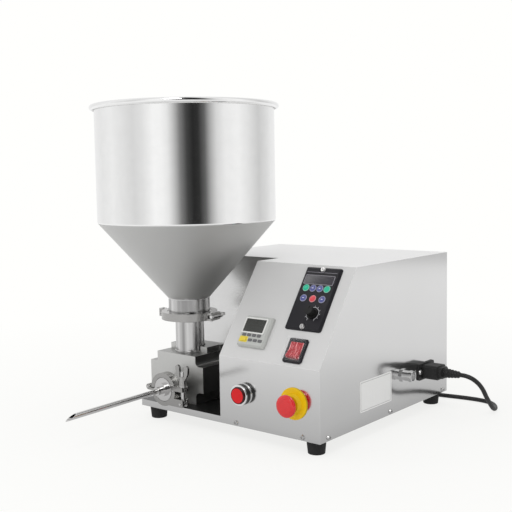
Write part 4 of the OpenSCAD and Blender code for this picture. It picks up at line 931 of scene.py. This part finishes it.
class FILLER_OT_nozzle(bpy.types.Operator):
    """Nozzle, its gasket, clamp, swing bolt and wing nut"""

    bl_idname = "filler.nozzle"
    bl_label = "Nozzle"

    def execute(self, context):
        polished = rolled_steel("nozzle_steel", colours().polished, 0.12, "Y", 1e-6)
        casting = machined_steel("nozzle_clamp_steel", colours().casting, 0.20, 5e-6)
        dress("nozzle", polished, 0.3)
        dress("outlet_gasket", moulded_plastic("outlet_white", GASKET_TINT, 0.6), 0.2)
        for node in ("nozzle_clamp_lower_half", "nozzle_clamp_upper_half"):
            dress(node, casting, 0.8)
        for node, edge in (("nozzle_clamp_bolt", 0.3), ("nozzle_clamp_washer", 0.2)):
            dress(node, polished, edge)
        dress("nozzle_wing_nut", cast_steel("wing_nut_steel", colours().casting, 0.2, 3e-5), 0.7)
        return {"FINISHED"}


# ---------------------------------------------------------------- controls
CTRL = (50.0, math.hypot(129.9, 91.4) - 54.8)
CTRL_T = 4.0
KEYS = [(-18.0, 15.0, 0), (-6.0, 15.0, 1), (6.0, 15.0, 1), (18.0, 15.0, 0),
        (-16.0, -1.4, 1), (0.0, -1.4, 2), (16.0, -1.4, 1)]
KEY_R = 5.5
KNOB = (9.0, -24.0)
# The printed scale: the arc's and the ticks' radii, and its first and last angle
SCALE_ARC, SCALE_TICK, SCALE_FROM, SCALE_TO = (9.6, 10.2), (10.6, 12.4), -60, 241


class FILLER_OT_controller(bpy.types.Operator):
    """Speed controller: plate, window, keys, knob and its printed scale"""

    bl_idname = "filler.controller"
    bl_label = "Speed controller"

    def execute(self, context):
        black = moulded_plastic("controller_black", colours().black, 0.42)
        dress("speed_controller", black, 0.5, 20.0)
        dress("controller_display", display_glass("display_window", (0.030, 0.027, 0.036)), 0.2)
        dress("speed_knob", moulded_plastic("knob_black", (0.010, 0.010, 0.010), 0.35), 0.3)
        self.window_rim()
        self.keys()
        self.scale()
        return {"FINISHED"}

    def window_rim(self):
        bm = bmesh.new()
        m = on_slope(*CTRL, v=28.3)
        band(round_corners(50.6, 15.2, 1.8), round_corners(48.8, 13.4, 1.2), bm, CTRL_T,
             CTRL_T + 0.95, m)
        top = CTRL_T + 0.25
        slab(bm, round_corners(52.0, 0.7, 0.3, 0.0, 12.2), CTRL_T, top, m)
        keep_piece("display_rim", bm, printed_ink("rim_grey", (0.26, 0.25, 0.28)), "machine")

    def keys(self):
        tints = (colours().key_green, colours().key_blue, colours().key_red)
        finishes = []
        for name, tint in zip(("green", "blue", "red"), tints):
            finishes.append(moulded_plastic("key_" + name, tint, 0.3, 900.0, 4e-6, 0.3))
            finishes.append(moulded_plastic("key_ring_" + name,
                                            tuple(0.25 + 0.6 * c for c in tint), 0.3, 900.0,
                                            4e-6, 0.3))
        finishes.append(printed_ink("key_mark", (0.75, 0.76, 0.85)))
        bm = bmesh.new()
        for x, v, kind in KEYS:
            m = on_slope(*CTRL, v=v, w=x)
            spin(bm, [(0.0, CTRL_T), (KEY_R, CTRL_T), (KEY_R, CTRL_T + 0.3),
                      (KEY_R - 0.3, CTRL_T + 0.5), (KEY_R - 1.0, CTRL_T + 0.55)], m, 40,
                 index=2 * kind + 1)
            dome = [((KEY_R - 1.0) * math.cos(a), CTRL_T + 0.55 + 0.4 * math.sin(a))
                    for a in (math.radians(15 * k) for k in range(6))]
            spin(bm, [*dome, (0.0, CTRL_T + 0.95)], m, 40, index=2 * kind)
            if kind == 1:
                slab(bm, round_corners(3.0, 1.0, 0.4), CTRL_T + 0.9, CTRL_T + 1.0, m, 6)
        piece = keep_piece("controller_key_domes", bm, finishes, "machine")
        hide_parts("controller_keys")

    def scale(self):
        """A printed arc with ticks round the knob."""
        bm = bmesh.new()
        m = on_slope(*CTRL, v=KNOB[1], w=KNOB[0])
        low, high = CTRL_T, CTRL_T + 0.06
        arc = []
        for r in SCALE_ARC:
            arc.append([(r * math.cos(math.radians(a)), r * math.sin(math.radians(a)))
                        for a in range(SCALE_FROM, SCALE_TO, 6)])
        outline = arc[1] + arc[0][::-1]
        verts = [[bm.verts.new(m @ Vector((x, y, z))) for x, y in outline] for z in (low, high)]
        count = len(arc[0])
        for row in verts:
            for k in range(count - 1):
                bm.faces.new((row[k], row[k + 1], row[2 * count - 2 - k],
                              row[2 * count - 1 - k]))
        for k in range(2 * count):
            n = (k + 1) % (2 * count)
            bm.faces.new((verts[0][k], verts[0][n], verts[1][n], verts[1][k]))
        near, far = SCALE_TICK
        for a in range(SCALE_FROM, SCALE_TO, 30):
            tick = m @ Matrix.Rotation(math.radians(a), 4, "Z")
            slab(bm, [(near, -0.3), (far, -0.3), (far, 0.3), (near, 0.3)], low, high, tick)
        keep_piece("knob_scale", bm, printed_ink("scale_white", (0.62, 0.62, 0.64)), "machine")


TIMER = (126.0, 42.4)
TIMER_T = 7.5
# Middle, width and height of the display and of the field round the reset key
LCD = (-2.0, 7.5, 36.0, 20.0)
RESET_FIELD = (-13.5, -14.5, 15.0, 9.0)


class FILLER_OT_timer(bpy.types.Operator):
    """Timer: case, dark display with its digits, key pad and reset key"""

    bl_idname = "filler.timer"
    bl_label = "Timer"

    def execute(self, context):
        dress("timer_case", moulded_plastic("timer_grey", colours().grey, 0.5), 0.5, 20.0)
        dress("timer_display", display_glass("lcd_dark", (0.050, 0.052, 0.048)), 0.15)
        dress("timer_keypad", moulded_plastic("key_grey", (0.16, 0.16, 0.165), 0.5), 0.25)
        dress("timer_reset_key", moulded_plastic("key_yellow", (0.80, 0.62, 0.06), 0.35), 0.4)
        self.frame()
        self.digits()
        return {"FINISHED"}

    def frame(self):
        """The pale raised frame round the display and the yellow field of the reset key."""
        m = on_slope(*TIMER)
        bm = bmesh.new()
        x, y, w, h = LCD
        band(round_corners(w + 4.4, h + 4.4, 1.6, x, y), round_corners(w + 0.6, h + 0.6, 0.5, x, y),
             bm, TIMER_T - 0.1, TIMER_T + 1.0, m)
        x, y, w, h = RESET_FIELD
        slab(bm, round_corners(w, h, 1.2, x, y), TIMER_T - 0.1, TIMER_T + 0.25, m, 1)
        pale = moulded_plastic("timer_frame_white", (0.80, 0.80, 0.78), 0.45)
        field = printed_ink("reset_yellow", (0.84, 0.70, 0.12))
        keep_piece("timer_frame", bm, [pale, field], "machine")

    def digits(self):
        bm = bmesh.new()
        m = on_slope(*TIMER)
        low, high = TIMER_T + 0.5, TIMER_T + 0.55
        for x0, y0, w, h in ((-16.0, 9.0, 5.2, 7.0), (-12.0, 0.8, 3.6, 4.6)):
            for k in range(4):
                self.nought(bm, m, x0 + k * (w + 1.9), y0, w, h, low, high)
        ink = printed_ink("lcd_digit", (0.030, 0.032, 0.030))
        keep_piece("timer_digits", bm, ink, "machine")

    def nought(self, bm, m, x, y, w, h, low, high):
        """The lit bars of a nought, clockwise from the top one."""
        t, mid, top, right = 0.16 * w, y + h / 2, y + h, x + w
        for x0, y0, x1, y1 in ((x, top, right, top), (right, mid, right, top),
                               (right, y, right, mid), (x, y, right, y), (x, y, x, mid),
                               (x, mid, x, top)):
            gx, gy = (t * 0.7, -t / 2) if y0 == y1 else (-t / 2, t * 0.7)
            slab(bm, [(x0 + gx, y0 + gy), (x1 - gx, y0 + gy), (x1 - gx, y1 - gy),
                      (x0 + gx, y1 - gy)], low, high, m)


class FILLER_OT_switch(bpy.types.Operator):
    """Mains rocker switch: frame, glowing rocker with painted highlights and clear cover"""

    bl_idname = "filler.switch"
    bl_label = "Mains switch"

    def execute(self, context):
        dress("rocker_frame", moulded_plastic("switch_black", colours().black, 0.35), 0.35, 20.0)
        dress("rocker", glowing_plastic("rocker_red", (0.42, 0.003, 0.012), (1.0, 0.60, 0.60)), 0.6)
        dress("rocker_cover", clear_plastic("clear_cover", (0.93, 0.95, 0.97)), 0.6)
        return {"FINISHED"}


CHROME = (0.92, 0.92, 0.92)
# The buttons' middles on the front
START = (133.0, 49.3)
# Outside this radius the cap's rim is painted dark, as the shade of the gap round the disc.
START_DISC_R = 0.0106
# Where the start button's bezel has its black ring, in millimetres before the panel
START_RING = (1.8, 9.2)
# How far the ring's ramp reaches, in millimetres, and its soft edges as a share of that
RING_SPAN, RING_BLUR = 20.0, 0.01
STOP = (43.0, 49.3)
# The stop head's radius and distance from the panel, from the stem's hole out to its face
STOP_HEAD = [(0.0, 19.0), (6.05, 19.0), (6.05, 12.0), (11.0, 12.0), (15.3, 15.7), (15.6, 16.4),
             (15.6, 18.3), (15.3, 19.4), (14.6, 20.3), (13.4, 20.9), (11.9, 21.2), (10.9, 21.3),
             (10.6, 21.8), (10.2, 22.0), (0.0, 22.0)]


class FILLER_OT_buttons(bpy.types.Operator):
    """Start button and emergency stop"""

    bl_idname = "filler.buttons"
    bl_label = "Buttons"

    def execute(self, context):
        red = colours().red
        dress("start_button_body", self.ringed_chrome(), 0.5)
        dress("start_button_cap", self.red_cap_painted_gap(red), 0.5)
        yellow = colours().yellow
        dress("estop_plate", moulded_plastic("plate_yellow", yellow, 0.45), 0.4)
        dress("estop_body", moulded_plastic("collar_yellow", shade(yellow, 0.85), 0.35), 0.5)
        dress("estop_stem", moulded_plastic("stem_black", (0.02, 0.02, 0.02), 0.4), 0.3)
        self.stop_head(moulded_plastic("stop_red", red, 0.12, 900.0, 2e-6, 0.6, 0.5))
        return {"FINISHED"}

    def stop_head(self, finish):
        """The mushroom head: a raised round face on a bowed shoulder, hollow behind."""
        bm = bmesh.new()
        spin(bm, STOP_HEAD, on_front(*STOP), 96)
        piece = keep_piece("estop_head_finished", bm, finish, BODY_OF["estop_head"],
                           30)
        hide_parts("estop_head")

    def ringed_chrome(self):
        """The bezel: bright metal with a black ring round its middle."""
        f = Finish("bezel_chrome")
        before = (on_front(*START).translation.y - f.parts()[1]) / MM
        low, high = (edge / RING_SPAN for edge in START_RING)
        ring = f.ramp(before / RING_SPAN, [(low - RING_BLUR, 0.0), (low, 1.0), (high, 1.0),
                                           (high + RING_BLUR, 0.0)])
        hairs = f.noise(f.place((60.0, 2600.0, 60.0)), 1.0, 3.0)
        return f.close(Base_Color=f.mix(ring, CHROME, (0.015, 0.015, 0.015)),
                       Metallic=1.0 - ring,
                       Roughness=(0.12 + ring * 0.2 + (hairs - 0.5) * 0.05).clamped())

    def red_cap_painted_gap(self, red):
        """The start button's cap: a red disc, its rim painted dark as the shade of the gap round
        it.
        """
        f = Finish("cap_red")
        middle = on_front(*START).translation
        spot = f.parts()
        x, z = (spot[i] - middle[i] for i in (0, 2))
        disc = f.node("ShaderNodeMath", {"operation": "LESS_THAN"}, (x ** 2.0 + z ** 2.0) ** 0.5,
                      START_DISC_R)
        grain = f.noise(f.place(), 900.0, 2.0)
        return f.close(Base_Color=f.mix(disc, (0.06, 0.004, 0.005),
                                        f.mix(grain, shade(red, 0.9), shade(red, 1.05))),
                       Roughness=(0.22 + (grain - 0.5) * 0.06).clamped(),
                       Specular_IOR_Level=0.3)


class FILLER_OT_side(bpy.types.Operator):
    """Pedal socket and mains inlet on the right side"""

    bl_idname = "filler.side"
    bl_label = "Right side"

    def execute(self, context):
        dress("pedal_socket", turned_steel("socket_chrome", (0.78, 0.78, 0.78), 0.12), 0.3)
        dress("mains_inlet", moulded_plastic("inlet_black", (0.02, 0.02, 0.02), 0.45), 0.4)
        return {"FINISHED"}


OPERATORS = (FILLER_OT_stage, FILLER_OT_cord, FILLER_OT_housing, FILLER_OT_pump,
             FILLER_OT_drive, FILLER_OT_hopper, FILLER_OT_nozzle, FILLER_OT_controller,
             FILLER_OT_timer, FILLER_OT_switch, FILLER_OT_buttons, FILLER_OT_side)


class FILLER_PT_panel(bpy.types.Panel):
    bl_idname = "FILLER_PT_panel"
    bl_label = "Donut filler machine"
    bl_space_type = "VIEW_3D"
    bl_region_type = "UI"
    bl_category = "Donut filler"

    def draw(self, context):
        for group in (context.scene.filler_colours, context.scene.filler_sizes):
            box = self.layout.box()
            for name in group.bl_rna.properties.keys():
                if name not in {"rna_type", "name"}:
                    box.prop(group, name)
        for operator in OPERATORS:
            self.layout.operator(operator.bl_idname)


CLASSES = (FillerColours, FillerSizes, *OPERATORS, FILLER_PT_panel)


def register():
    for c in CLASSES:
        bpy.utils.register_class(c)
    bpy.types.Scene.filler_colours = PointerProperty(type=FillerColours)
    bpy.types.Scene.filler_sizes = PointerProperty(type=FillerSizes)


def unregister():
    del bpy.types.Scene.filler_sizes
    del bpy.types.Scene.filler_colours
    for c in reversed(CLASSES):
        bpy.utils.unregister_class(c)


def main():
    register()
    bpy.context.scene.view_settings.view_transform = "Standard"
    for operator in OPERATORS:
        group, name = operator.bl_idname.split(".")
        getattr(getattr(bpy.ops, group), name)()


if __name__ == "__main__":
    main()
